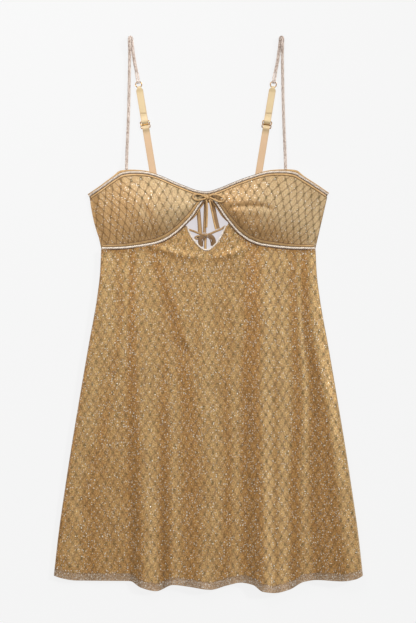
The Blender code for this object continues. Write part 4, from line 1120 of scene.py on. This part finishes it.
def make_skirt(context):
    net = look_of("net_skirt", context)
    wall = context.scene.dress_sizes.net_wall / MM
    marks = np.array([LINING_SIDE, 0.945, 0.96, 0.972, 0.982, 0.99, 0.996, 1.0])
    shares = np.concatenate([-marks[::-1], np.linspace(-0.92, 0.92, 187), marks])
    levels = np.concatenate([[0, 0.003, 0.007, 0.012, 0.018], np.linspace(0.024, 1, 160)])
    mid, from_hem = skirt_mid(shares, levels, HEM, front_top, front_relief)
    # Painted shadow under the bust piping: the net's painted light is cut almost to nothing at the
    # seam and comes back over a few millimetres below it, except near the middle.
    seam_shadow = ease((mid[-1, :, 1] - mid[..., 1]) / SEAM_SHADOW_REACH + 0.1)
    lie = lie_of(mid) * np.where(np.abs(mid[..., 0]) > SEAM_SHADE_FROM, seam_shadow, 1.0)
    clear = np.full(mid.shape[:2], CLEAR_LEAST)
    for x, half, amount, kept in CLEAR_BANDS:
        clear += (amount * np.exp(-((mid[..., 0] - x) / half) ** 2)
                  * (kept + (1 - kept) * lifted(mid)))
    front = shell(mid, wall, grain=cloth_grain(mid), backed=backed_by_lining(from_hem), lie=lie,
                  clear=clear).make("skirt_net_front", net, "net", "skirt_front")
    area_of(mid)
    shares = np.linspace(-1, 1, 61)
    levels = np.concatenate([[0, 0.004, 0.01, 0.018, 0.026], np.linspace(0.04, 1, 40)])
    flat, from_hem = skirt_mid(shares, levels, BACK_HEM, lambda x: back_waist(x) - SEAM_GAP,
                               lambda s, x, up: np.full(x.shape, BACK_Z))
    back = shell(flat, wall, grain=cloth_grain(flat), backed=backed_by_lining(from_hem),
                 lie=lie_of(flat)).make("skirt_net_back", net, "net", "skirt_back")
    area_of(flat)
    tube(even(mid[0], np.linspace(0.004, 0.996, 420)), 0.42, 6).make(
        "hem_roll", look_of("thread", context), "net")


def make_lining(context):
    satin = look_of("lining_satin", context)
    wall = context.scene.dress_sizes.satin_wall / MM
    shares = np.linspace(-0.932, 0.932, 141)
    levels = np.linspace(0, 1, 110)

    def under_net(s, x, up):
        return front_relief(s, x, up) - LAYER_STEP
    mid, _ = skirt_mid(shares, levels, HEM, front_top, under_net, LINING_SHORT, LINING_DROP)
    front = shell(mid, wall).make("lining_satin_front", satin, "satin", "lining_front")
    area_of(mid)
    shares = LINING_SIDE * np.linspace(-1, 1, 41)
    flat, _ = skirt_mid(shares, np.linspace(0, 1, 30), BACK_HEM, back_waist,
                        lambda s, x, up: np.full(x.shape, LINING_BACK_Z), LINING_SHORT,
                        LINING_DROP)
    back = shell(flat, wall).make("lining_satin_back", satin, "satin", "lining_back")
    area_of(flat)


def cup_grain(mid, side):
    """The cup's cloth leans with the side seam beyond the dart."""
    x, up = mid[..., 0] * side, mid[..., 1]
    lean = ease((x - 66) / 84)
    u = (x - 100) - (up - 74) * 0.47 * lean
    grain = np.stack([side * u, up + 0.1 * np.maximum(x - 100, 0), 0 * u], axis=-1)
    return grain / CUP_LATTICE, 0.12 + 0.28 * lean


def edge_shade(grid):
    """Darkens the two long edges of a folded strip, where it meets its neighbours."""
    across = np.linspace(-1, 1, len(grid))[:, None]
    return np.broadcast_to(np.abs(across) ** 3, grid.shape[:2])


def make_cups(context):
    net, satin = look_of("net_bodice", context), look_of("trim_satin", context)
    # dark holds the painted shadow material for the dark lines along the folds
    dark = look_of("painted_shadow", context)
    wall = context.scene.dress_sizes.cup_wall / MM
    shares = np.unique(np.concatenate([np.linspace(0, 1, 96), np.linspace(0.40, 0.48, 17)]))
    for side, tag in SIDES:
        mid = cup_surface(shares, np.linspace(0, 1, 64), side)
        grain, clear = cup_grain(mid, side)
        cup = shell(mid, wall, grain=grain, lie=lie_of(mid), clear=clear).make(
            "cup_net_" + tag, net, "net", "cup_" + tag)
        area_of(mid)
        across = np.linspace(0, 1, 9)[:, None]
        reach = np.linspace(0.012, 0.975, 90)
        tall = cup_depth(reach, side)
        wide = np.interp(reach, (0, 0.2, 0.45, 0.85, 1), (3.2, 4.0, 5.2, 6.6, 4.6))
        fold = cup_surface(reach, (0.4 + wide * across) / tall, side)
        fold[..., 2] += (CUP_WALL / 2 + 0.25 + 0.55 * np.sin(np.pi * across) ** 0.7
                         - 0.3 * np.exp(-((across - 0.58) / 0.1) ** 2))
        shell(fold, FOLD_WALL, shade=edge_shade(fold)).make(
            "bust_fold_" + tag, satin, "satin", "binding_" + tag)
        # Painted shadow lines along the top of the bust fold and the foot of the neck fold, as
        # dark cords
        edges = tube(fold[-1] + np.array([0, 0.2, 0.15]), 0.34, 6)
        reach = np.linspace(0.01, 0.955, 90)
        tall = cup_depth(reach, side)
        fold = cup_surface(reach, 1 - (0.2 + NECK_FOLD * across[::-1]) / tall, side)
        fold[..., 2] += CUP_WALL / 2 + 0.1 + 0.4 * np.sin(np.pi * across) ** 0.7
        shell(fold, FOLD_WALL, shade=edge_shade(fold)).make(
            "neck_fold_" + tag, satin, "satin")
        tube(fold[0] + np.array([0, -0.2, 0.1]), 0.30, 6, edges).make(
            "fold_shadow_" + tag, dark, "satin")
    shares = np.linspace(-1, 1, 81)
    rows = np.array(BACK_BAND)
    top_x = np.abs(shares) * BACK_TOP_SIDE[0]
    top_up = monotone([*rows[:, 0], BACK_TOP_SIDE[0]], [*rows[:, 1], BACK_TOP_SIDE[1]], top_x)
    low = np.stack([np.abs(shares) * WAIST_HALF, back_waist(shares * WAIST_HALF)], axis=-1)
    high = np.stack([top_x, top_up], axis=-1)
    plan = low + (high - low) * np.linspace(0, 1, 12)[:, None, None]
    mid = np.stack([plan[..., 0] * np.sign(shares), plan[..., 1],
                    np.full(plan.shape[:2], BACK_Z)], axis=-1)
    back = shell(mid, BACK_NET_WALL, grain=cloth_grain(mid), lie=lie_of(mid)).make(
        "back_net", net, "net", "back_bodice")
    area_of(mid)


def edging(side, line, outward, inner, table, reach, heights, swell):
    """A soft folded strip beside a piping, as a shell."""
    table = np.array(table)
    shares = np.linspace(reach[0], reach[1], 60)
    near = even(offset(line, outward * inner), shares)
    at = (shares - reach[0]) / (reach[1] - reach[0]) if table[-1, 0] == 1.0 else shares
    width = monotone(table[:, 0], table[:, 1], at)
    tangent = unit(np.gradient(near, axis=0))
    normal = outward * np.stack([-tangent[:, 1], tangent[:, 0]], axis=1)
    rows = []
    for t in np.linspace(0, 1, 7):
        plan = near + normal * (width * t)[:, None]
        rows.append(np.column_stack([plan, heights(shares) + swell * math.sin(math.pi * t)]))
    grid = np.array(rows)
    grid[..., 0] *= side
    return grid


def make_facings(context):
    satin = look_of("trim_satin", context)
    for side, tag in SIDES:
        grid = edging(side, NECK_LINES[side], -1, PIPING_NECK_R + SEAM_GAP, FACING_WIDTH,
                      (0.0, 0.56), lambda s: seam_height(s) + neck_height(s) - FRONT_Z, 0.4)
        shell(grid, FACING_WALL, shade=0.6 * edge_shade(grid)).make(
            "neck_facing_" + tag, satin, "satin", "facing_" + tag)
        grid = edging(side, BUST_LINES[side], 1, PIPING_BUST_R + SEAM_GAP, KEY_FACING_WIDTH,
                      (0.775, 1.0), lambda s: FRONT_Z - 0.2 + 0 * s, 0.9)
        shell(grid, FACING_WALL, shade=edge_shade(grid)).make(
            "key_facing_" + tag, satin, "satin", "facing_key_" + tag)


def piping_routes(side):
    """Middle lines of the piping under a cup and of the piping on its neckline."""
    shares = np.linspace(0.0, 1.0, 90)
    base = np.maximum(seam_height(shares), WALL + SEAM_GAP + PIPING_BUST_R)
    line = even(BUST_LINES[side], shares)
    bust = np.column_stack([side * line[:, 0], line[:, 1], base])
    line = even(NECK_LINES[side], shares)
    neck = np.column_stack([side * line[:, 0], line[:, 1], base + neck_height(shares) - FRONT_Z])
    return bust, neck


def make_piping(context):
    # thread holds the painted shadow material here: dark cords laid beside each piping as its
    # shadow
    silver, thread = look_of("silver_rope", context), look_of("painted_shadow", context)
    pitch = context.scene.dress_sizes.twist / MM
    for side, tag in SIDES:
        bust, neck = piping_routes(side)
        bust = bust[:-3]
        rope(bust, BUST_ROPE_R, pitch).make(
            "bust_rope_" + tag, silver, "piping", "piping_bust_" + tag)
        rope(neck, NECK_ROPE_R, pitch, NECK_DARKENING).make(
            "neck_rope_" + tag, silver, "piping", "piping_neck_" + tag)
        pattern = Pattern()
        for route, gap in ((bust, BUST_ROPE_R), (neck, NECK_ROPE_R)):
            for way, thick in SHADOW_LINE_SIDES:
                line = offset(route[:, :2], way * side * (gap + SHADOW_LINE_GAP))
                height = route[:, 2] + 0.1
                if route is bust and way > 0:
                    height = height + np.maximum(fold_lift(line[:, 0], 0 * height), 0) + SEAM_TURN
                tube(np.column_stack([line, height]), thick, 6, pattern, flatten=0.6)
        pattern.make("piping_shadow_" + tag, thread, "satin")
    line = even(KEY_LINE, np.linspace(0.035, 0.965, 60))
    route = np.column_stack([line, np.full(len(line), FRONT_Z)])
    rope(route, KEY_ROPE_R, KEY_TWIST * pitch, (0.3, 0.0, 0.0, 0.0, 0.3)).make(
        "keyhole_rope", silver, "piping", "piping_keyhole")
    # A painted shadow line along the inner side of the keyhole piping
    shadow_line = np.column_stack([offset(line, -KEY_ROPE_R - 0.2), route[:, 2] + 0.1])
    tube(shadow_line, 0.4, 6, flatten=0.6).make("keyhole_shadow", thread, "satin")


def along(start, end, side):
    """A place function for a straight line in plan, and its width direction."""
    start, end = np.array(start, float), np.array(end, float)
    way = (end - start) / np.linalg.norm(end - start)

    def place(distance, z, aside=0.0):
        x, y = start + way * distance + aside * np.array([way[1], -way[0]])
        return side * x + STRAP_SHIFT, y, z
    return place, (way[1], -way[0] * side)


def from_ring(aim, side):
    """The straight line from the ring's middle line towards a point of the photograph."""
    way = unit(np.array(aim) - np.array(RING_AT))
    return along(np.array(RING_AT) + way * RING_R, aim, side)


def wrap():
    """Half turn through the ring and round its wire: distance along, height."""
    return [(-WRAP_REACH * math.sin(a), WIRE_Z - WRAP_TURN * math.cos(a))
            for a in np.linspace(0, math.pi, 15)[1:-1]]


def ribbon_profile():
    """Side view of the ribbon: round the ring, through the slider, on to the back."""
    floor, over = TRIM / 2, SLIDER_Z + SLIDER_BAR / 2 + SEAM_GAP + TRIM / 2
    second = floor + TRIM + SEAM_GAP
    return [(STITCH_AT, floor), (STITCH_AT / 2, floor), (0, floor), *wrap(),
            (0, WIRE_Z + WRAP_TURN), (3, 3.1), (7, second + 0.1), (STITCH_AT / 2, second),
            (STITCH_AT - 1, second), (STITCH_AT + 3, second), (SLIDER_AT - 9, 3.0),
            (SLIDER_AT - 6.9, over), (SLIDER_AT - 4.3, over), (SLIDER_AT - 1.08, SLIDER_DIP),
            (SLIDER_AT + 1.08, SLIDER_DIP), (SLIDER_AT + 4.3, over), (SLIDER_AT + 6.9, over),
            (SLIDER_AT + 11, 1.2), (SLIDER_AT + 15, floor), (110, floor), (150, floor),
            (200, floor), (RAMP_AT - 5, floor), (RAMP_AT, BACK_Z + LAYER_STEP),
            (RIBBON_END_AT, BACK_Z + LAYER_STEP)]


def soften(rows, step):
    """A profile sampled closely with its corners eased."""
    rows = np.array(rows, float)
    run = lengths(rows)
    dense = even(rows, np.linspace(0, 1, int(run[-1] / step)))
    kernel = np.array([1, 2, 3, 2, 1]) / 9
    for c in range(2):
        padded = np.pad(dense[:, c], 2, mode="edge")
        dense[2:-2, c] = np.convolve(padded, kernel, "valid")[2:-2]
    return dense


def wrap_widths(rows, width):
    """A band is gathered where it goes through the ring."""
    return np.where(rows[:, 0] < -0.5, WRAP_WIDTH,
                    np.minimum(width, WRAP_WIDTH + 1.2 * (rows[:, 0] + 0.5) + 1))


def make_straps(context):
    beads = look_of("beads", context)
    for side, tag in SIDES:
        front, back = smooth(STRAP_FRONT, 80), smooth(STRAP_BACK, 30)
        turn_at = (front[-1] + back[0]) / 2
        half = (front[-1] - back[0]) / 2
        bend = [turn_at + half * math.cos(a) + np.array([0, STRAP_TURN * math.sin(a), 0])
                for a in np.linspace(0, math.pi, 9)[1:-1]]
        route = np.vstack([front, bend, back])
        route[:, 0] = side * route[:, 0] + STRAP_SHIFT
        behind = np.linspace(0, 1, len(route)) > BACK_CORD_FROM
        beaded(route, np.where(behind, CORD_BACK_R, CORD_R), Pattern(), 40 + side).make(
            "strap_cord_" + tag, beads, "cord", "strap_front_" + tag, "strap_back_" + tag)
        place, _ = from_ring(CORD_AIM, side)
        rows = soften([(14, TRIM / 2 + 0.5), (7, TRIM / 2 + 0.4), (0, TRIM / 2 + 0.1), *wrap(),
                       (0, WIRE_Z + WRAP_TURN), (3.5, 3.0), (8, 2.3), (15, 2.0)], 0.6)
        pattern = Pattern()
        for aside, seed in ((-END_ASIDE, 7), (END_ASIDE, 9)):
            spread = np.where(rows[:, 0] < 2, 0.7, 1.0)
            line = np.array([place(d, z, aside * k) for (d, z), k in zip(rows, spread)])
            beaded(line, END_CORD_R, pattern, seed + side, around=5)
        pattern.make("strap_end_" + tag, beads, "cord", "strap_loop_" + tag)


def make_ribbons(context):
    silk, thread = look_of("ribbon", context), look_of("thread", context)
    for side, tag in SIDES:
        place, across = from_ring(RIBBON_AIM, side)
        rows = soften(ribbon_profile(), 1.1)
        path = np.array([place(*row) for row in rows])
        strip(path, wrap_widths(rows, RIBBON_WIDTH), RIBBON_THICK, across).make(
            "ribbon_" + tag + "_silk", silk, "ribbon", "ribbon_" + tag)
        top = TRIM / 2 + TRIM + SEAM_GAP + 0.42
        seam = np.array([place(STITCH_AT - 2.2 + 0.14 * a, top, a)
                         for a in (-5.2, -2.6, 0, 2.6, 5.2)])
        pattern = Pattern()
        for shift in (0.0, 0.7):
            stitches(seam + np.array([0, shift, 0]), *RIBBON_STITCH, pattern)
        pattern.make("ribbon_stitch_" + tag, thread, "ribbon")


def ring_pattern(centre, around=56, sides=14):
    """The round wire of a strap ring, lying flat."""
    turn = np.linspace(0, 2 * np.pi, around, endpoint=False)[:, None]
    roll = np.linspace(0, 2 * np.pi, sides, endpoint=False)[None]
    reach = RING_R + WIRE_R * np.cos(roll)
    points = np.stack([reach * np.cos(turn), reach * np.sin(turn),
                       WIRE_R * np.sin(roll) + 0 * turn], axis=-1) + np.array(centre)
    faces = []
    for i in range(around):
        for k in range(sides):
            n, u = (i + 1) % around, (k + 1) % sides
            faces.append([i * sides + k, n * sides + k, n * sides + u, i * sides + u])
    return Pattern().add(points, faces)


def slider_wires():
    """Centre lines of the slider's rim and bar, lying in its own plane."""
    half, long = SLIDER_SIZE[0] / 2 - SLIDER_BAR / 2, SLIDER_SIZE[1] / 2 - SLIDER_BAR / 2
    corner = [(-half, -long), (half, -long), (half + 0.5, -long / 2), (half - 0.3, 0),
              (half + 0.5, long / 2), (half, long), (-half, long), (-half - 0.5, long / 2),
              (-half + 0.3, 0), (-half - 0.5, -long / 2), (-half, -long)]
    return even(corner, np.linspace(0, 1, 73)), np.array([(-half, 0), (0, 0), (half, 0)])


def make_fittings(context):
    gold = look_of("gold_metal", context)
    for side, tag in SIDES:
        centre = (side * RING_AT[0] + STRAP_SHIFT, RING_AT[1], WIRE_Z)
        ring_pattern(centre).make("ring_" + tag + "_gold", gold, "gold", "ring_" + tag)
        place, _ = from_ring(RIBBON_AIM, side)
        pattern = Pattern()
        for line in slider_wires():
            path = np.array([place(SLIDER_AT + b, SLIDER_Z, a) for a, b in line])
            tube(path, SLIDER_BAR / 2, 12, pattern, flatten=0.9)
        pattern.make("slider_" + tag + "_gold", gold, "gold", "slider_" + tag)


def knot_pattern(centre, radii, shade):
    """A small knot: a rounded body with the tie wound over it."""
    around, rows = 28, 18
    points = []
    for i in range(rows + 1):
        lat = math.pi * i / rows
        for k in range(around):
            lon = 2 * math.pi * k / around
            groove = 1 + 0.07 * math.sin(KNOT_WINDS * lat * 2 + 1.5 * math.cos(lon))
            unit_at = (math.cos(lat), math.sin(lat) * math.cos(lon), math.sin(lat) * math.sin(lon))
            points.append([c + r * groove * u for c, r, u in zip(centre, radii, unit_at)])
    n = (rows + 1) * around
    faces = [*quads(rows + 1, around, wrap=True)[:, ::-1], np.arange(around),
             np.arange(n - around, n)[::-1]]
    return Pattern().add(points, faces, shade=shade)


def make_ties(context):
    satin = look_of("trim_satin", context)
    for tag in ("left", "right"):
        points = smooth(UPPER_TAILS[tag], 30)
        curve = bpy.data.curves.new("tie_free_" + tag, "CURVE")
        curve.dimensions = "3D"
        curve.bevel_depth = TAIL_R * MM
        curve.bevel_resolution = 4
        curve.use_fill_caps = True
        spline = curve.splines.new("POLY")
        spline.points.add(len(points) - 1)
        spline.use_smooth = True
        for point, (x, y, z) in zip(spline.points, points):
            point.co = (x * MM, (y + WAIST_Y) * MM, z * MM, 1.0)
        curve.materials.append(satin)
        tail = bpy.data.objects.new("tie_free_" + tag, curve)
        context.scene.collection.objects.link(tail)
        settle(tail, "satin", "tie_end_" + tag)
        x, y, z = points[0]
        lengths(points)[-1] * MM
    for tag in ("left", "right"):
        route = smooth(UPPER_LOOPS[tag], 90)
        radius = TIE_R * (1 + 0.06 * np.sin(np.linspace(0, 40, 90)))
        tube(route, radius, 12, flatten=0.85).make(
            "bow_loop_" + tag, satin, "satin", "tie_loop_" + tag)
        route = smooth(ARMS[tag], 40)
        tube(route, ARM_R, 12, flatten=0.7, shade=0.55).make(
            "bow_arm_" + tag, satin, "satin", "tie_arm_" + tag)
    # Painted shade in the lower bow: the loop half shaded, a flat tube fully shaded filling its
    # inside, and the inner arc almost fully shaded.
    pattern = tube(smooth(LOWER_LOOP, 50), 1.15 * TIE_R, 12, flatten=0.85, shade=0.5)
    tube([(-11, 18.2, 2.0), (-15, 18.3, 2.0), (-19, 17.6, 2.0)], 1.6, 10, pattern, flatten=0.4,
         shade=1.0)
    tube(smooth(INNER_ARC, 40), 0.8 * TIE_R, 12, pattern, flatten=0.85, shade=0.95)
    pattern.make("bow_loop_lower", satin, "satin", "tie_loop_lower")
    for name, width, dim, points in FLAT_TIES:
        route = smooth(points, 40)
        taper = width * (1 - 0.1 * np.sin(np.linspace(0, np.pi, 40)))
        strip(route, taper, TIE_THICK, crown=0.45, columns=9, dim=dim).make(
            name.replace("tie_", "satin_").replace("strand", "satin_strand"), satin, "satin", name)
    rows = np.array(KNOT_TAB)
    across = np.linspace(-1, 1, 25)
    middle, half = rows[:, 1:2], rows[:, 2:3]
    tab = np.stack([middle + half * across, rows[:, :1] + 0 * across,
                    rows[:, 3:4] + 0.35 * np.sin(9 * across)], axis=-1)
    shade = np.broadcast_to(rows[:, 4:5], tab.shape[:2])
    shell(tab, 0.6, shade=shade).make("knot_tab", satin, "satin")
    knot_pattern(UPPER_KNOT, UPPER_KNOT_R, 0.15).make(
        "knot_upper", satin, "satin", "tie_knot_upper")
    knot_pattern(LOWER_KNOT, LOWER_KNOT_R, 0.6).make(
        "knot_lower", satin, "satin", "tie_knot_lower")


def make_sewing(context):
    thread = look_of("thread", context)
    for side, tag in SIDES:
        pattern = Pattern()
        reach = np.linspace(0.04, 0.97, 160)
        tall = cup_depth(reach, side)
        row = cup_surface(reach, (1 - NECK_FOLD / tall)[None], side)[0]
        stitches(row, *SEAM_STITCH, pattern, CUP_WALL / 2)
        reach = np.linspace(0.1, 0.95, 140)
        width = FOLD_SHARE + 0.35 * np.maximum(reach - 0.8, 0)
        row = cup_surface(reach, (0.012 + width * 0.22)[None], side)[0]
        stitches(row, *SEAM_STITCH, pattern, CUP_WALL / 2 + 0.95)
        pattern.make("seam_stitch_" + tag, thread, "satin")


def hang_light(scene, name, lamp, way):
    """Puts a lamp in the scene, shining from the given way towards the dress."""
    light = bpy.data.objects.new(name, lamp)
    light.rotation_euler = Vector(way).to_track_quat("Z", "Y").to_euler()
    scene.collection.objects.link(light)
    return light


def make_stage(context):
    scene = context.scene
    scene.view_settings.view_transform = "Standard"
    camera = bpy.data.cameras.new("camera")
    camera.sensor_width = SENSOR
    camera.lens = SENSOR * CAMERA_HEIGHT / (PICTURE_PX[1] * MM_PER_PX * MM)
    camera.clip_end = 4 * CAMERA_HEIGHT
    eye = bpy.data.objects.new("camera", camera)
    eye.location = (PICTURE_MIDDLE[0] * MM, (PICTURE_MIDDLE[1] + WAIST_Y) * MM, CAMERA_HEIGHT)
    scene.collection.objects.link(eye)
    scene.camera = eye

    mesh = bpy.data.meshes.new("floor")
    mesh.from_pydata([(x * FLOOR_HALF, y * FLOOR_HALF, FLOOR_Z)
                      for x, y in ((-1, -1), (1, -1), (1, 1), (-1, 1))], [], [(0, 1, 2, 3)])
    look = Look("pale_floor", Roughness=0.9, Specular_IOR_Level=0.0)
    look.shader.inputs["Base Color"].default_value = (FLOOR_SHADE,) * 3 + (1.0,)
    # Painted shadow: the floor's glow is darker and greyer inside the keyhole, standing for the
    # dress's shade there.
    place = look.place()
    from_hole = look.node("ShaderNodeVectorMath", {"operation": "LENGTH"}, {
        0: look.scaled(look.node("ShaderNodeVectorMath", {"operation": "SUBTRACT"},
                                 {0: place, 1: KEYHOLE_MIDDLE}), KEYHOLE_REACH)}, out=1)
    look.set(Emission_Color=look.mix(rgb(scene.dress_colours.floor_shaded),
                                     rgb(scene.dress_colours.floor), from_hole.ramp(0.75, 1.0)))
    look.shader.inputs["Emission Strength"].default_value = 1.0
    mesh.materials.append(look.material)
    floor = bpy.data.objects.new("floor", mesh)
    scene.collection.objects.link(floor)

    world = bpy.data.worlds.new("studio")
    world.use_nodes = True
    sky = world.node_tree.nodes["Background"]
    sky.inputs["Color"].default_value = (1.0, 1.0, 1.0, 1.0)
    sky.inputs["Strength"].default_value = STUDIO_STRENGTH
    scene.world = world
    lamp = bpy.data.lights.new("key", "SUN")
    lamp.angle = math.radians(KEY_WIDTH)
    lamp.energy = KEY_STRENGTH
    hang_light(scene, "key", lamp, KEY_WAY)
    lamp = bpy.data.lights.new("overhead", "AREA")
    lamp.shape = "DISK"
    lamp.size = OVERHEAD_SIZE
    lamp.energy = OVERHEAD_POWER
    hang_light(scene, "overhead", lamp, OVERHEAD_AT).location = OVERHEAD_AT


# ---------------------------------------------------------------------------
# Operators
# ---------------------------------------------------------------------------

def piece_operator(name, label, words, maker):
    """An operator that makes one piece of the dress or a group of like pieces."""

    def execute(self, context):
        maker(context)
        return {"FINISHED"}
    return type("DRESS_OT_" + name, (bpy.types.Operator,), {
        "bl_idname": "dress." + name, "bl_label": label, "__doc__": words, "execute": execute})


OPERATORS = [
    piece_operator("stage", "Stage", "Camera, floor and soft light.", make_stage),
    piece_operator("ties", "Ties", "Bows, knots, strands and free ends.", make_ties),
    piece_operator("skirt", "Skirt", "Net skirt, front and back.", make_skirt),
    piece_operator("lining", "Lining", "Satin lining, front and back.", make_lining),
    piece_operator("cups", "Bodice", "Cups, their folds and the low back.", make_cups),
    piece_operator("facings", "Facings", "Satin facings at neck and keyhole.", make_facings),
    piece_operator("piping", "Piping", "Twisted silver piping.", make_piping),
    piece_operator("straps", "Straps", "Beaded strap cords and their ends.", make_straps),
    piece_operator("ribbons", "Ribbons", "Ribbons with their stitching.", make_ribbons),
    piece_operator("fittings", "Fittings", "Rings and sliders.", make_fittings),
    piece_operator("sewing", "Sewing", "Rows of stitches on the bodice.", make_sewing),
]


class DRESS_PT_panel(bpy.types.Panel):
    """Lists the pieces of the dress."""
    bl_label = "Slip Dress"
    bl_idname = "DRESS_PT_panel"
    bl_space_type = "VIEW_3D"
    bl_region_type = "UI"
    bl_category = "Dress"

    def draw(self, context):
        for operator in OPERATORS:
            self.layout.operator(operator.bl_idname)


CLASSES = [DressSizes, DressColours, *OPERATORS, DRESS_PT_panel]


def register():
    for item in CLASSES:
        bpy.utils.register_class(item)
    bpy.types.Scene.dress_sizes = PointerProperty(type=DressSizes)
    bpy.types.Scene.dress_colours = PointerProperty(type=DressColours)


def unregister():
    del bpy.types.Scene.dress_colours
    del bpy.types.Scene.dress_sizes
    for item in reversed(CLASSES):
        bpy.utils.unregister_class(item)


def main():
    register()
    for operator in OPERATORS:
        group, name = operator.bl_idname.split(".")
        getattr(getattr(bpy.ops, group), name)()


if __name__ == "__main__":
    main()
